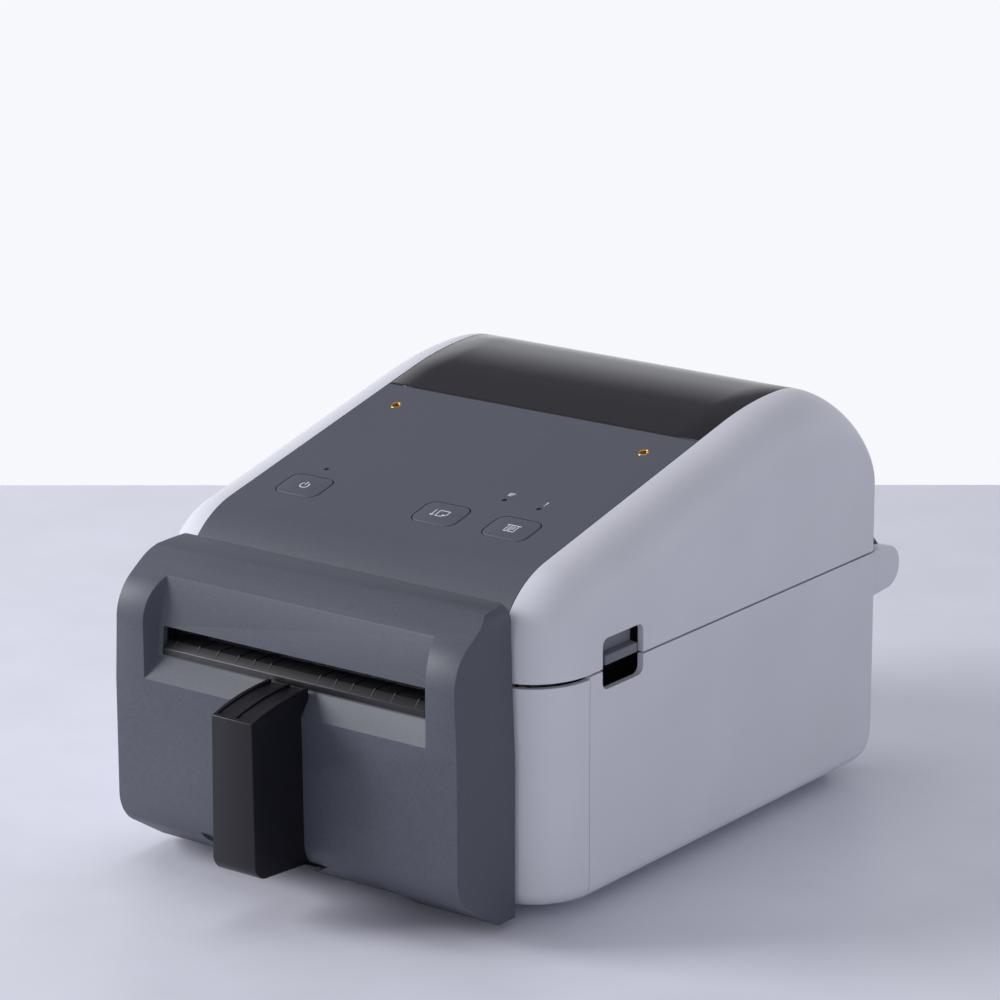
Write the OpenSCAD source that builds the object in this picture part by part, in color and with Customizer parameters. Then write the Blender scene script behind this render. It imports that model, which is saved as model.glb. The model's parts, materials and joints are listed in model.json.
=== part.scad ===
// Desktop thermal label printer with a front cutter unit and a label support post.
// X is across the printer, +Y points to the rear, +Z is up. The origin is at the centre of
// the footprint, on the table. Shapes are drawn in x, d, z, where d is the distance forward
// of the rear wall, and from_rear() turns that into the printer's own frame.

/* [Body] */
// Width over both sides
body_w = 180; // [172:1:220]
// Depth from the rear wall to the front of the case
body_d = 212; // [205:1:256]
// Height of the ridge above the table
body_h = 155; // [150:1:190]
// Height of the seam between case and cover
seam_z = 87; // [85:0.5:92]
// Height of the underside of the case
case_z = 4; // [3:0.5:6]
// Thickness of every moulded wall
wall = 2.6; // [2:0.1:3]
// Half of the gap at a seam
seam_gap = 0.4; // [0.3:0.05:0.6]

/* [Cover] */
// Height at which the sloping panel meets the nose
nose_h = 126.56; // [120:0.01:132]
// Half the width of the panel and the window
panel_half_w = 70.6; // [58:0.1:72]
// Radius of the rear roof arc
rear_r = 42; // [38:1:46]
// Radius that blends the ridge into the slope
ridge_r = 159; // [140:1:180]
// Distance of the window's lower edge from the rear wall
window_d = 94.3; // [88:0.1:100]
// Distance of the threaded inserts from the rear wall
insert_d = 108; // [104:0.5:114]
// Distance of each insert inward of the panel's side edge
insert_inset = 14.2; // [12:0.1:20]
// Thread core radius of an insert
insert_bore_r = 1.25; // [1:0.05:1.6]
// Travel of a button
button_travel = 0.8; // [0.5:0.1:1]
// Width of a button
button_w = 19; // [16:0.5:21]
// Length of a button along the slope
button_l = 14.5; // [12:0.5:16]

/* [Roll compartment] */
// Largest label roll radius
roll_r = 63.5; // [55:0.5:64]
// Half the distance between the roll guides
guide_x = 52; // [45:0.5:55]
// Travel of each roll guide
guide_travel = 36; // [25:1:38]

/* [Print line] */
// Radius of the platen rubber
platen_r = 8; // [6.5:0.1:8.5]
// Half the length of the platen rubber
platen_half_l = 56; // [50:0.5:57]
// Radius of the platen shaft
shaft_r = 3; // [2.5:0.1:3.5]
// Radial clearance of a running shaft
run_clear = 0.05; // [0.02:0.01:0.09]

/* [Cutter unit] */
// Depth of the cutter unit in front of the case
cutter_depth = 34.15; // [32:0.05:42]
// Height of its underside
cutter_z = 3; // [2:0.1:5]
// Radius of the chin below the front face
chin_r = 15; // [10:0.5:18]
// Height at which the chin starts
chin_h = 26; // [22:0.5:30]
// Travel of the moving blade
blade_stroke = 11; // [9:0.5:12]

/* [Support post] */
// How far the post reaches in front of the cutter unit
post_reach = 26.85; // [22:0.05:33]
// Half the width of the post
post_half_w = 9; // [8:0.1:12]
// Height of the post's underside
post_z = 17.2; // [16:0.1:20]

/* [Hidden] */
$fn = 64;

pale = "gainsboro";
dark = "dimgray";
black = "#202024";
steel = "silver";

half_w = body_w / 2;
free_gap = 0.3;                          // gap between pieces that don't touch

// Hinge axis and the lugs behind the rear wall
hinge_d = -8;
hinge_z = seam_z - 9;
hinge_pin_r = 2.5;
lug_r = 8.3;
lug_x0 = half_w - 6;
lug_x1 = half_w - 0.4;

// Overall depth, and where the rear wall stands in the printer's own frame
cutter_front_d = body_d + cutter_depth;
post_front_d = cutter_front_d + post_reach;
rear_y = (post_front_d + hinge_d - lug_r) / 2;

// Plan corners of the body: wide at the front, small at the rear
corner_x = 20;
corner_front = 24;
corner_rear = 4;
shoulder = 18;                           // drop of the cheek's shoulder
rear_low_r = 14;                         // lower edges of the case, seen from the side
front_low_r = 8;
bezel_d = body_d - 24;                   // side seam between case and bezel

// Roof line: rear arc, ridge blend, slope, then two arcs down the nose
nose_r = 38;
nose_tip_r = 20;
nose_turn = 45;                          // angle at which the nose arcs meet
nose_d = body_d - nose_tip_r - (nose_r - nose_tip_r) * sin(nose_turn);
slope = tangent_slope([nose_d, nose_h], [rear_r, body_h - ridge_r], ridge_r);
blend_end_d = rear_r + ridge_r * sin(slope);
blend_end_z = body_h - ridge_r * (1 - cos(slope));
nose_z = nose_h - nose_r / cos(slope);
tip_d = body_d - nose_tip_r;
tip_z = nose_z + (nose_r - nose_tip_r) * cos(nose_turn);

// Latch
latch_d = body_d - 31;
latch_z = seam_z + 19;
latch_r = 2.5;
latch_window = [body_d - 56, body_d - 31.4];
latch_window_z = [seam_z - 7.5, seam_z + 11.2];
tab_x1 = half_w - 0.6;
tab_x0 = half_w - 5.2;
hook_x0 = 62.3;
hook_x1 = 64.5;

// Cover frame rails
rail_x0 = half_w - 13;
rail_x1 = half_w - 10.5;

// Roll compartment
tray_wall = 2;
tray_half_w = 64;
tray_floor = 18;
tray_d0 = wall + 9.4;
tray_d1 = body_d - 68;
tray_mid = (tray_d0 + tray_d1) / 2;
tray_slant = 33;
tray_top = seam_z - 3;
tray_front_top = seam_z - 13;
roll_z = tray_floor + roll_r;
rack_z = tray_floor - tray_wall - 4.2;
rack_h = 4;
guide_pinion_teeth = 16;
guide_pinion_r = guide_pinion_teeth / 2;
guide_neck_w = 4;
guide_t = 3;
guide_row = [tray_mid + 12.5, tray_mid - 12.5];

// Print line and gear train, gears of module 1
platen_d = body_d - 14;
platen_z = seam_z - 0.6 - platen_r;
plate_x0 = 66;
plate_x1 = 67.5;
frame_d0 = body_d - 62;
frame_d1 = body_d - 6.5;
frame_z = case_z + wall + 0.4;
motor_d = body_d - 44;
motor_z = 36;
pinion_teeth = 16;
idler_teeth = 40;
platen_teeth = 16;
idler = meet([motor_d, motor_z], (pinion_teeth + idler_teeth) / 2,
             [platen_d, platen_z], (idler_teeth + platen_teeth) / 2);
gear_x = -74.5;
gear_t = 5;
head_z = platen_z + platen_r + 0.3;

// Main board
board_z = 17.4;
board_t = 1.6;
board_d0 = wall + 1.4;
board_d1 = 38;
board_half_w = 75;
port_d = 1;

// Cutter unit
cutter_rear_d = body_d + 1.5;
cutter_half_front = 76.4;
cutter_half_rear = 76.8;
cutter_wall = 2.2;
cutter_corner = 6;                       // radius of its top corners
chin_turn = 58;                          // angle through which the chin turns back
step_half_w = 40.2;                      // shallow step under the chin
step_z = 17.5;
step_deep = 1.4;
slot_z = [seam_z - 7.2, seam_z + 3.2];
slot_half_w = 59;
recess_half_w = 63;
recess_back_w = 59.5;
recess_deep = 9.7;
recess_low_z = seam_z - 15.6;
recess_top_z = seam_z + 21.6;
blade_d = body_d + 12.4;
blade_t = 1.8;
cutter_plate_d = blade_d + blade_t + 0.4 + 1.6;
cutter_plate_t = 1.5;
blade_teeth = 14;
blade_pinion_r = blade_teeth / 2;
rack_x = 30;
blade_pinion_x = rack_x - blade_pinion_r;
blade_pinion_z = 46;
blade_top_z = seam_z - 7.6;

// Bracket that holds the post: a lug through the chin and a tongue inside the post
bracket_d = cutter_front_d - 12;
lug_half_w = 15;
lug_z = 15.6;
lug_t = 1.6;
tongue_half_w = 6.5;
post_low_r = 6.5;                        // lower front edge of the post

// Places of the feet and of the panel's fittings
foot_x = half_w - 18;
foot_rows = [17.5, body_d - 34];
button_d = body_d - 39.7;
buttons = [-48.6, 13.7, 44.8];
insert_x = panel_half_w - insert_inset;
leds = [[-48.9, body_d - 52.9], [29.5, body_d - 56.3], [45.4, body_d - 55.1]];

// ---------- functions ----------

// Height of the sloping panel at a distance from the rear wall
function panel_z(d) = blend_end_z - tan(slope) * (d - blend_end_d);

// Points on an elliptical arc
function arc(cx, cy, rx, ry, a0, a1, n) =
    [for (i = [0:n]) let (a = a0 + (a1 - a0) * i / n) [cx + rx * cos(a), cy + ry * sin(a)]];

// Downward slope of the line from p that touches the top of a circle
function tangent_slope(p, centre, r) =
    let (v = p - centre) asin(r / norm(v)) - atan2(v[1], v[0]);

// Point at distances ra and rb from a and b, on the left of the way from a to b
function meet(a, ra, b, rb) =
    let (v = b - a, s = norm(v), u = v / s, along = (ra * ra - rb * rb + s * s) / (2 * s),
         h = sqrt(ra * ra - along * along))
    a + u * along + [-u[1], u[0]] * h;

// Roof outline in d, z, pulled in by top, front and rear, and cut off at low
function roof_line(top, front, rear, low) = concat(
    [[body_d - front, low]],
    arc(tip_d, tip_z, nose_tip_r - front, nose_tip_r - top, 0, 90 - nose_turn, 6),
    arc(nose_d, nose_z, nose_r - front * sin(nose_turn) - top * (1 - sin(nose_turn)),
        nose_r - top, 90 - nose_turn + 6, 90 - slope, 4),
    arc(rear_r, body_h - ridge_r, ridge_r - top, ridge_r - top, 90 - slope, 90, 4),
    arc(rear_r, body_h - rear_r, rear_r - rear, rear_r - top, 96, 180, 12),
    [[rear, low]]);

// Plan outline in x, d with every wall pulled in by inset
function plan_line(inset) =
    let (front = arc(half_w - corner_x, body_d - corner_front, corner_x - inset,
                     corner_front - inset, 0, 90, 12),
         rear = arc(half_w - corner_rear, corner_rear, max(corner_rear - inset, 1),
                    max(corner_rear - inset, 1), -90, 0, 4),
         rear_in = [for (p = rear) [min(p[0], half_w - inset), max(p[1], inset)]],
         right = concat(rear_in, front))
    concat(right, [for (i = [len(right) - 1:-1:0]) [-right[i][0], right[i][1]]]);

// Involute angle at radius r of a gear with base radius rb
function involute(rb, r) = let (a = acos(min(1, rb / r))) tan(a) * 180 / PI - a;

// Outline of a module 1 gear with the first tooth on the angle start
function gear_line(teeth, start) =
    let (rp = teeth / 2, rb = rp * cos(20), ra = rp + 0.9, rf = rp - 1.2,
         half = 90 / teeth - 2.6 / rp + involute(rb, rp),
         radii = [for (i = [0:4]) max(rb, rf) + (ra - max(rb, rf)) * i / 4])
    [for (t = [0:teeth - 1]) let (c = start + t * 360 / teeth)
        each concat(
            [[rf * cos(c - half - 1.5), rf * sin(c - half - 1.5)]],
            [for (r = radii) let (a = c - half + involute(rb, r)) [r * cos(a), r * sin(a)]],
            [for (i = [4:-1:0]) let (r = radii[i], a = c + half - involute(rb, r))
                [r * cos(a), r * sin(a)]],
            [[rf * cos(c + half + 1.5), rf * sin(c + half + 1.5)]])];

// Angle that puts a gear of nb teeth in mesh with a gear of na teeth that starts at start,
// when the way from the first to the second gear points along toward
function mesh_start(na, start, nb, toward) =
    toward + 180 - 180 / nb + (toward - start) * na / nb;

// ---------- helpers ----------

// Turns x, d, z into the printer's own frame
module from_rear() { translate([0, rear_y, 0]) mirror([0, 1, 0]) children(); }

// Extrudes a d, z outline from x0 to x1
module along_x(x0, x1) {
    translate([x0, 0, 0]) rotate([90, 0, 90]) linear_extrude(x1 - x0) children();
}

// Extrudes an x, z outline from d0 to d1
module along_d(d0, d1) {
    translate([0, d1, 0]) rotate([90, 0, 0]) linear_extrude(d1 - d0) children();
}

// Rod along X, d or Z between two coordinates
module rod_x(x0, x1, d, z, r) { translate([x0, d, z]) rotate([0, 90, 0]) cylinder(r=r, h=x1 - x0); }
module rod_d(d0, d1, x, z, r) { translate([x, d0, z]) rotate([-90, 0, 0]) cylinder(r=r, h=d1 - d0); }
module rod_z(z0, z1, x, d, r) { translate([x, d, z0]) cylinder(r=r, h=z1 - z0); }

// Box from one corner to the other
module block(low, high) { translate(low) cube(high - low); }

// Both sides of the printer
module both_sides() {
    children();
    mirror([1, 0, 0]) children();
}

// Puts children on the sloping panel, with +Z along its outward normal
module on_panel(x, d) { translate([x, d, panel_z(d)]) rotate([-slope, 0, 0]) children(); }

// Rounded rectangle centred on the origin
module round_rect(w, l, r) {
    square([w - 2 * r, l], center=true);
    square([w, l - 2 * r], center=true);
    for (sx = [-1, 1], sy = [-1, 1]) translate([sx * (w / 2 - r), sy * (l / 2 - r)]) circle(r=r);
}

// Case block below the seam, pulled in by inset
module case_block(inset, top) {
    low = case_z + inset;
    edge_r = 6 - inset / 2;
    intersection() {
        translate([0, 0, low]) linear_extrude(top - low) polygon(plan_line(inset));
        along_x(-half_w, half_w) polygon(concat(
            [[inset, top + 1]],
            arc(rear_low_r, case_z + rear_low_r, rear_low_r - inset, rear_low_r - inset,
                180, 270, 10),
            arc(body_d - front_low_r, case_z + front_low_r, front_low_r - inset,
                front_low_r - inset, 270, 360, 10),
            [[body_d - inset, top + 1]]));
        along_d(0, body_d) polygon(concat(
            [[inset - half_w, top + 1]],
            arc(inset - half_w + edge_r, low + edge_r, edge_r, edge_r, 180, 270, 6),
            arc(half_w - inset - edge_r, low + edge_r, edge_r, edge_r, 270, 360, 6),
            [[half_w - inset, top + 1]]));
    }
}

// Solid cover above the seam, pulled in by inset, with rounded shoulders: one roof line
// every few degrees round each shoulder, joined up by flat triangles
module cover_block(inset) {
    turns = [for (a = [-90:15:0]) a];
    rings = concat([for (a = turns) cover_ring(inset, -1, a)],
                   [for (i = [len(turns) - 1:-1:0]) cover_ring(inset, 1, -turns[i])]);
    n = len(rings[0]);
    last = (len(rings) - 1) * n;
    polyhedron([for (ring = rings) each ring], concat(
        [for (k = [0:len(rings) - 2], i = [0:n - 1])
            let (j = (i + 1) % n, a = k * n, b = a + n)
            each [[a + i, b + i, b + j], [a + i, b + j, a + j]]],
        [[for (i = [n - 1:-1:0]) i], [for (i = [0:n - 1]) last + i]]));
}

// Roof line in x, d, z at an angle round the shoulder on one side, from -90 to 90
function cover_ring(inset, side, a) =
    let (c = 1 - cos(a), x = side * (half_w - corner_x) + (corner_x - inset) * sin(a))
    [for (p = roof_line(inset + (shoulder - inset) * c, inset + (corner_front - inset) * c,
                        inset + (corner_rear - inset / 2) * c, seam_z + seam_gap))
        [x, p[0], p[1]]];

// Slab that follows the roof between two depths, for the panel and the window
module roof_slab(outer, inner, half) {
    along_x(-half, half) difference() {
        polygon(roof_line(outer, outer, outer, seam_z + seam_gap));
        polygon(roof_line(inner, inner, inner, seam_z + seam_gap - 1));
    }
}

// Module 1 spur gear on the X axis
module gear_on_x(teeth, start, x, d, z, bore) {
    translate([x, d, z]) rotate([90, 0, 90]) linear_extrude(gear_t) difference() {
        polygon(gear_line(teeth, start));
        circle(r=bore);
    }
}

// Straight rack tooth outline along u, with teeth towards +v
module rack_line(length, back) {
    count = floor(length / PI);
    polygon(concat([[length, -back], [0, -back]], [[0, -1.2]],
        [for (i = [0:count - 1]) let (u = (i + 0.5) * PI)
            each [[u - 1.19, -1.2], [u - 0.37, 0.85], [u + 0.37, 0.85], [u + 1.19, -1.2]]],
        [[length, -1.2]]));
}

// Open coil spring along Z
module coil_spring(radius, wire, length, turns) {
    sides = 8;
    rings = 12 * turns;
    points = [for (i = [0:rings], j = [0:sides - 1])
        let (a = 30 * i, b = 360 * j / sides, r = radius + wire * cos(b))
        [r * cos(a), r * sin(a), wire + (length - 2 * wire) * i / rings + wire * sin(b)]];
    sidewalls = [for (i = [0:rings - 1], j = [0:sides - 1])
        let (k = (j + 1) % sides, a = i * sides, b = (i + 1) * sides)
        each [[a + j, b + k, b + j], [a + j, a + k, b + k]]];
    caps = [for (j = [1:sides - 2]) each
        [[0, j + 1, j], [rings * sides, rings * sides + j, rings * sides + j + 1]]];
    polyhedron(points, concat(sidewalls, caps));
}

// ---------- case ----------

module lower_case() color(pale) from_rear() {
    difference() {
        case_block(0, seam_z - seam_gap);
        case_block(wall, seam_z);
        block([-half_w - 1, bezel_d, 0], [half_w + 1, body_d + 1, seam_z]);
        both_sides() latch_cut();
        // sockets in the rear wall
        for (p = ports()) block([p[0] - p[1] / 2 - 0.4, -1, board_z + board_t - 0.4],
            [p[0] + p[1] / 2 + 0.4, wall + 1, board_z + board_t + p[2] + 0.4]);
        for (x = [-foot_x, foot_x], d = foot_rows) rod_z(0, case_z + wall + 1, x, d, 2.6);
        for (p = case_screw_places()) rod_z(0, case_z + wall + 1, p[0], p[1], 1.6);
    }
    both_sides() difference() {
        union() {
            rod_x(lug_x0, lug_x1, hinge_d, hinge_z, lug_r);
            along_x(lug_x0, lug_x1) polygon([[wall, hinge_z - 9], [hinge_d - 1, hinge_z - 7.9],
                [hinge_d, hinge_z], [hinge_d - 2, hinge_z + 7.9], [-1.2, hinge_z + 9.4],
                [0, hinge_z + 8.6], [wall, hinge_z + 8.6]]);
        }
        rod_x(lug_x0 - 1, lug_x1 - 1.8, hinge_d, hinge_z, hinge_pin_r);
    }
    for (x = [-board_half_w + 5, board_half_w - 5], d = [board_d0 + 7, board_d1 - 5])
        rod_z(case_z + wall, board_z, x, d, 3);
}

// Window for the latch tab, and the finger opening below it
module latch_cut() {
    z0 = latch_window_z[0];
    z1 = latch_window_z[1];
    d_mid = (latch_window[0] + latch_window[1]) / 2;
    translate([half_w - 8, d_mid, (z0 + z1) / 2]) rotate([90, 0, 90]) linear_extrude(12)
        round_rect(latch_window[1] - latch_window[0], z1 - z0, 3);
}

module front_bezel() color(pale) from_rear() {
    top = seam_z - seam_gap - 1;
    difference() {
        case_block(0, top);
        case_block(wall, top + 1);
        block([-half_w - 1, -1, 0], [half_w + 1, bezel_d + 0.2, seam_z]);
        // label slot in the upper edge, and the cutter's cable and screws
        block([-slot_half_w - 1, body_d - 8, seam_z - 6], [slot_half_w + 1, body_d + 1, seam_z]);
        block([-14, body_d - 8, 30], [14, body_d + 1, 44]);
        for (x = [-1, 1] * screw_x(), z = screw_rows()) rod_d(body_d - 8, body_d + 1, x, z, 1.5);
    }
    // tongue that reaches into the case
    difference() {
        union() {
            intersection() {
                case_block(wall + 0.15, top - 1);
                block([-half_w, bezel_d - 5, 0], [half_w, bezel_d + 6, seam_z]);
            }
            intersection() {
                case_block(wall - 0.1, top - 1);
                block([-half_w, bezel_d + 0.5, 0], [half_w, bezel_d + 6, seam_z]);
            }
        }
        case_block(wall + 1.8, top);
    }
}

// Socket places on the rear: x, width, height, depth
function ports() = [[-56, 14, 11, 14], [-30, 12, 11, 16], [-6, 14, 7, 14], [20, 16, 13.5, 20]];
function case_screw_places() = [for (x = [-50, 50], d = [frame_d0 + 6, bezel_d - 12]) [x, d]];
function screw_x() = 71;
function screw_rows() = [34, 70];

module socket(i) {
    p = ports()[i];
    z = board_z + board_t;
    difference() {
        block([p[0] - p[1] / 2, port_d, z], [p[0] + p[1] / 2, port_d + p[3], z + p[2]]);
        children();
    }
}

module dc_inlet() color(black) from_rear() {
    p = ports()[0];
    z = board_z + board_t + p[2] / 2;
    socket(0) rod_d(port_d - 1, port_d + 11, p[0], z, 3.2);
    rod_d(port_d + 1.5, port_d + 11.5, p[0], z, 1.2);
}

module usb_port() color(steel) from_rear() {
    p = ports()[1];
    z = board_z + board_t;
    socket(1) block([p[0] - 4.3, 0, z + 1.4], [p[0] + 4.3, port_d + 9, z + p[2] - 1.6]);
    block([p[0] - 2.8, port_d + 1, z + 3.6], [p[0] + 2.8, port_d + 9.1, z + p[2] - 4.2]);
}

module usb_host_port() color(steel) from_rear() {
    p = ports()[2];
    z = board_z + board_t;
    socket(2) block([p[0] - 6.3, 0, z + 0.9], [p[0] + 6.3, port_d + 9, z + p[2] - 0.9]);
    block([p[0] - 5.6, port_d + 1, z + 3.6], [p[0] + 5.6, port_d + 9.1, z + 5.2]);
}

module network_port() color(steel) from_rear() {
    p = ports()[3];
    z = board_z + board_t;
    socket(3) {
        block([p[0] - 5.9, 0, z + 3.2], [p[0] + 5.9, port_d + 13, z + p[2] - 1.6]);
        block([p[0] - 3, 0, z + 1.4], [p[0] + 3, port_d + 10, z + 4]);
    }
}

module main_board() color("darkgreen") from_rear() {
    top = board_z + board_t;
    block([-board_half_w, wall + 0.2, board_z], [board_half_w, board_d1, top]);
    block([40, 14, top], [52, 26, top + 1.6]);
    block([56, 10, top], [68, 24, top + 2]);
    rod_z(top, top + 9, 36, 12, 4);
    rod_z(top, top + 9, 46, 8.5, 3.5);
    block([-74, 12, top], [-66, 30, top + 4]);
    for (x = [-60:8:-36]) block([x, 29, top], [x + 5, 34, top + 1.2]);
}

// Rubber foot with a stem through the case floor and a head inside it
module foot_at(x, d) color("darkgray") from_rear() translate([x, d, 0]) rotate_extrude() polygon(
    [[0, 0], [6, 0], [6.8, 0.9], [7, case_z], [2.6, case_z], [2.6, case_z + wall],
     [3.4, case_z + wall], [3, case_z + wall + 1.6], [0, case_z + wall + 1.6]]);
module foot_front_left() foot_at(-foot_x, foot_rows[1]);
module foot_front_right() foot_at(foot_x, foot_rows[1]);
module foot_rear_left() foot_at(-foot_x, foot_rows[0]);
module foot_rear_right() foot_at(foot_x, foot_rows[0]);

module hinge_pin_at(side) color(steel) from_rear() {
    x = side > 0 ? rail_x0 - 2 : 1.8 - lug_x1 + 1;
    rod_x(x, x + (lug_x1 - 1.8 - 1) - (rail_x0 - 2), hinge_d, hinge_z, hinge_pin_r);
}
module hinge_pin_left() hinge_pin_at(-1);
module hinge_pin_right() hinge_pin_at(1);

module case_screws() color(steel) from_rear() for (p = case_screw_places()) {
    rod_z(case_z - 1.6, case_z, p[0], p[1], 3);
    rod_z(case_z, frame_z + 5, p[0], p[1], 1.6);
}

// ---------- roll compartment ----------

// Compartment outline with the walls moved out by grow
function tray_line(grow) = let (g = grow * tan(22.5)) [
    [tray_d0 - grow, tray_top + 1], [tray_d0 - grow, tray_floor + tray_slant - g],
    [tray_d0 + tray_slant - g, tray_floor - grow], [tray_d1 - tray_slant + g, tray_floor - grow],
    [tray_d1 + grow, tray_floor + tray_slant - g], [tray_d1 + grow, tray_top + 1]];

module roll_tray() color(dark) from_rear() {
    out = tray_half_w + tray_wall;
    difference() {
        along_x(-out, out) polygon(tray_line(tray_wall));
        along_x(-tray_half_w, tray_half_w) polygon(tray_line(0));
        block([-out - 1, 0, tray_top], [out + 1, body_d, tray_top + 5]);
        block([-tray_half_w, tray_d1 - 1, tray_front_top], [tray_half_w, body_d, tray_top + 5]);
        for (i = [0, 1]) guide_slot(i);
    }
    rod_z(rack_z - 1, tray_floor - tray_wall, 0, tray_mid, 2);
    for (x = [-out + 5, out - 5], d = [tray_mid - 20, tray_mid + 20])
        rod_z(case_z + wall, tray_floor - tray_wall, x, d, 4);
}

// Slot in the tray floor that a guide's neck runs in
module guide_slot(i) {
    side = i == 0 ? -1 : 1;
    d = guide_row[i];
    x0 = guide_x - guide_travel - 1;
    x1 = guide_x + guide_t + 1;
    half = guide_neck_w / 2 + free_gap;
    block([side > 0 ? x0 : -x1, d - half, tray_floor - tray_wall - 1],
          [side > 0 ? x1 : -x0, d + half, tray_floor + 1]);
}

// Left roll guide: a disc with a core hub on a stem, and the rack under the tray floor
module roll_guide() {
    x1 = -guide_x;
    x0 = x1 - guide_t;
    row = guide_row[0];
    teeth_left = ceil(guide_x / PI);
    difference() {
        union() {
            rod_x(x0, x1, tray_mid, roll_z, 34);
            rod_x(x1, x1 + 5, tray_mid, roll_z, 12);
            along_x(x0, x1) polygon([[tray_mid - 24, tray_floor + free_gap],
                [tray_mid + 24, tray_floor + free_gap], [tray_mid + 30, roll_z - 16],
                [tray_mid - 30, roll_z - 16]]);
        }
        rod_x(x0 - 1, x1 + 6, tray_mid, roll_z, 8);
    }
    block([x0, row - guide_neck_w / 2, rack_z], [x1, row + guide_neck_w / 2, tray_floor + 1]);
    translate([-teeth_left * PI, tray_mid + guide_pinion_r, rack_z]) mirror([0, 1, 0])
        linear_extrude(rack_h)
            rack_line((teeth_left + 3) * PI, row + guide_neck_w / 2 - tray_mid - guide_pinion_r);
}
module roll_guide_left() color(dark) from_rear() roll_guide();
module roll_guide_right() color(dark) from_rear()
    translate([0, tray_mid, 0]) rotate([0, 0, 180]) translate([0, -tray_mid, 0]) roll_guide();

module guide_pinion() color(pale) from_rear() translate([0, tray_mid, rack_z])
    linear_extrude(rack_h - 0.2) difference() {
        polygon(gear_line(guide_pinion_teeth, 0));
        circle(r=2 + run_clear);
    }

// ---------- print mechanism ----------

module mechanism_frame() color(steel) from_rear() {
    difference() {
        union() {
            block([-plate_x1, frame_d0, frame_z], [plate_x1, bezel_d - 7, frame_z + 1.5]);
            both_sides() along_x(plate_x0, plate_x1) polygon([[frame_d0, frame_z],
                [bezel_d - 7, frame_z], [frame_d1, frame_z + 24], [frame_d1, seam_z - 1],
                [frame_d0, seam_z - 1]]);
        }
        rod_x(-half_w, half_w, platen_d, platen_z, shaft_r + 2);
        rod_x(-half_w, 0, motor_d, motor_z, 4.5);
        for (p = case_screw_places()) rod_z(0, frame_z + 3, p[0], p[1], 1.6);
    }
    rod_x(gear_x - 1, -plate_x1, idler[0], idler[1], 2);
    both_sides() rod_x(hook_x1 + free_gap, plate_x0, latch_d + 5, latch_z - 26, 2);
}

module platen_bushes() color("goldenrod") from_rear() both_sides() difference() {
    union() {
        rod_x(plate_x0, plate_x1 + 1, platen_d, platen_z, shaft_r + 2);
        rod_x(plate_x0 - 1.5, plate_x0, platen_d, platen_z, shaft_r + 3.5);
    }
    rod_x(plate_x0 - 3, plate_x1 + 3, platen_d, platen_z, shaft_r + run_clear);
}

module feed_motor() color(steel) from_rear() {
    rod_x(-plate_x0, -plate_x0 + 1.5, motor_d, motor_z, 21);
    rod_x(-plate_x0 + 1.5, -plate_x0 + 32, motor_d, motor_z, 19.5);
    rod_x(-plate_x0 - 2, -plate_x0, motor_d, motor_z, 4.5);
    rod_x(gear_x - 0.5, -plate_x0 - 2, motor_d, motor_z, 2 - run_clear);
}

module platen_shaft() color(steel) from_rear()
    rod_x(gear_x - 2, plate_x1 + 2.5, platen_d, platen_z, shaft_r);

module platen_rubber() color(black) from_rear() difference() {
    rod_x(-platen_half_l, platen_half_l, platen_d, platen_z, platen_r);
    rod_x(-platen_half_l - 1, platen_half_l + 1, platen_d, platen_z, shaft_r);
}

function way(a, b) = atan2(b[1] - a[1], b[0] - a[0]);
platen_start = 0;
idler_start = mesh_start(platen_teeth, platen_start, idler_teeth,
                         way([platen_d, platen_z], idler));
pinion_start = mesh_start(idler_teeth, idler_start, pinion_teeth,
                          way(idler, [motor_d, motor_z]));

module platen_gear() color("white") from_rear()
    gear_on_x(platen_teeth, platen_start, gear_x, platen_d, platen_z, shaft_r);
module idler_gear() color("white") from_rear()
    gear_on_x(idler_teeth, idler_start, gear_x, idler[0], idler[1], 2 + run_clear);
module motor_pinion() color("goldenrod") from_rear()
    gear_on_x(pinion_teeth, pinion_start, gear_x, motor_d, motor_z, 2);

module label_sensor() color(black) from_rear() {
    block([-plate_x0, body_d - 50, seam_z - 11], [plate_x0, body_d - 40, seam_z - 5]);
    block([-9, body_d - 48, seam_z - 5], [9, body_d - 42, seam_z - 4]);
}

module cover_sensor() color(black) from_rear() difference() {
    block([plate_x1, body_d - 52, seam_z - 18], [plate_x1 + 8, body_d - 42, seam_z - 2]);
    block([plate_x1 + 3, body_d - 53, seam_z - 12], [plate_x1 + 5.5, body_d - 41, seam_z]);
}

// ---------- cutter unit ----------

// Side outline of the cutter unit, pulled in by inset; the rear stays open
function cutter_line(inset) =
    let (low = cutter_z + inset, rear = cutter_rear_d - (inset > 0 ? 1 : 0), r = chin_r - inset,
         chin = arc(cutter_front_d - chin_r, chin_h, r, r, -chin_turn, 0, 6))
    concat([[rear, low], [chin[0][0] - (chin[0][1] - low) * tan(chin_turn), low]], chin,
           arc(cutter_front_d - 18, seam_z + 5, 18 - inset, 18 - inset, 0, 55, 7),
           [[body_d + 14 - inset * 0.3, seam_z + 28.1 - inset], [rear, seam_z + 29.4 - inset]]);

// Front outline of the cutter unit
function cutter_face(inset) = let (w = cutter_half_rear - inset, r = cutter_corner) concat(
    [[w, cutter_z], [w, seam_z - 27], [w - 1.2, seam_z + 1], [w - 1.7, seam_z + 17]],
    arc(cutter_half_rear - 1.7 - r, seam_z + 29.4 - r, r - inset, r - inset, 0, 90, 6));

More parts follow.
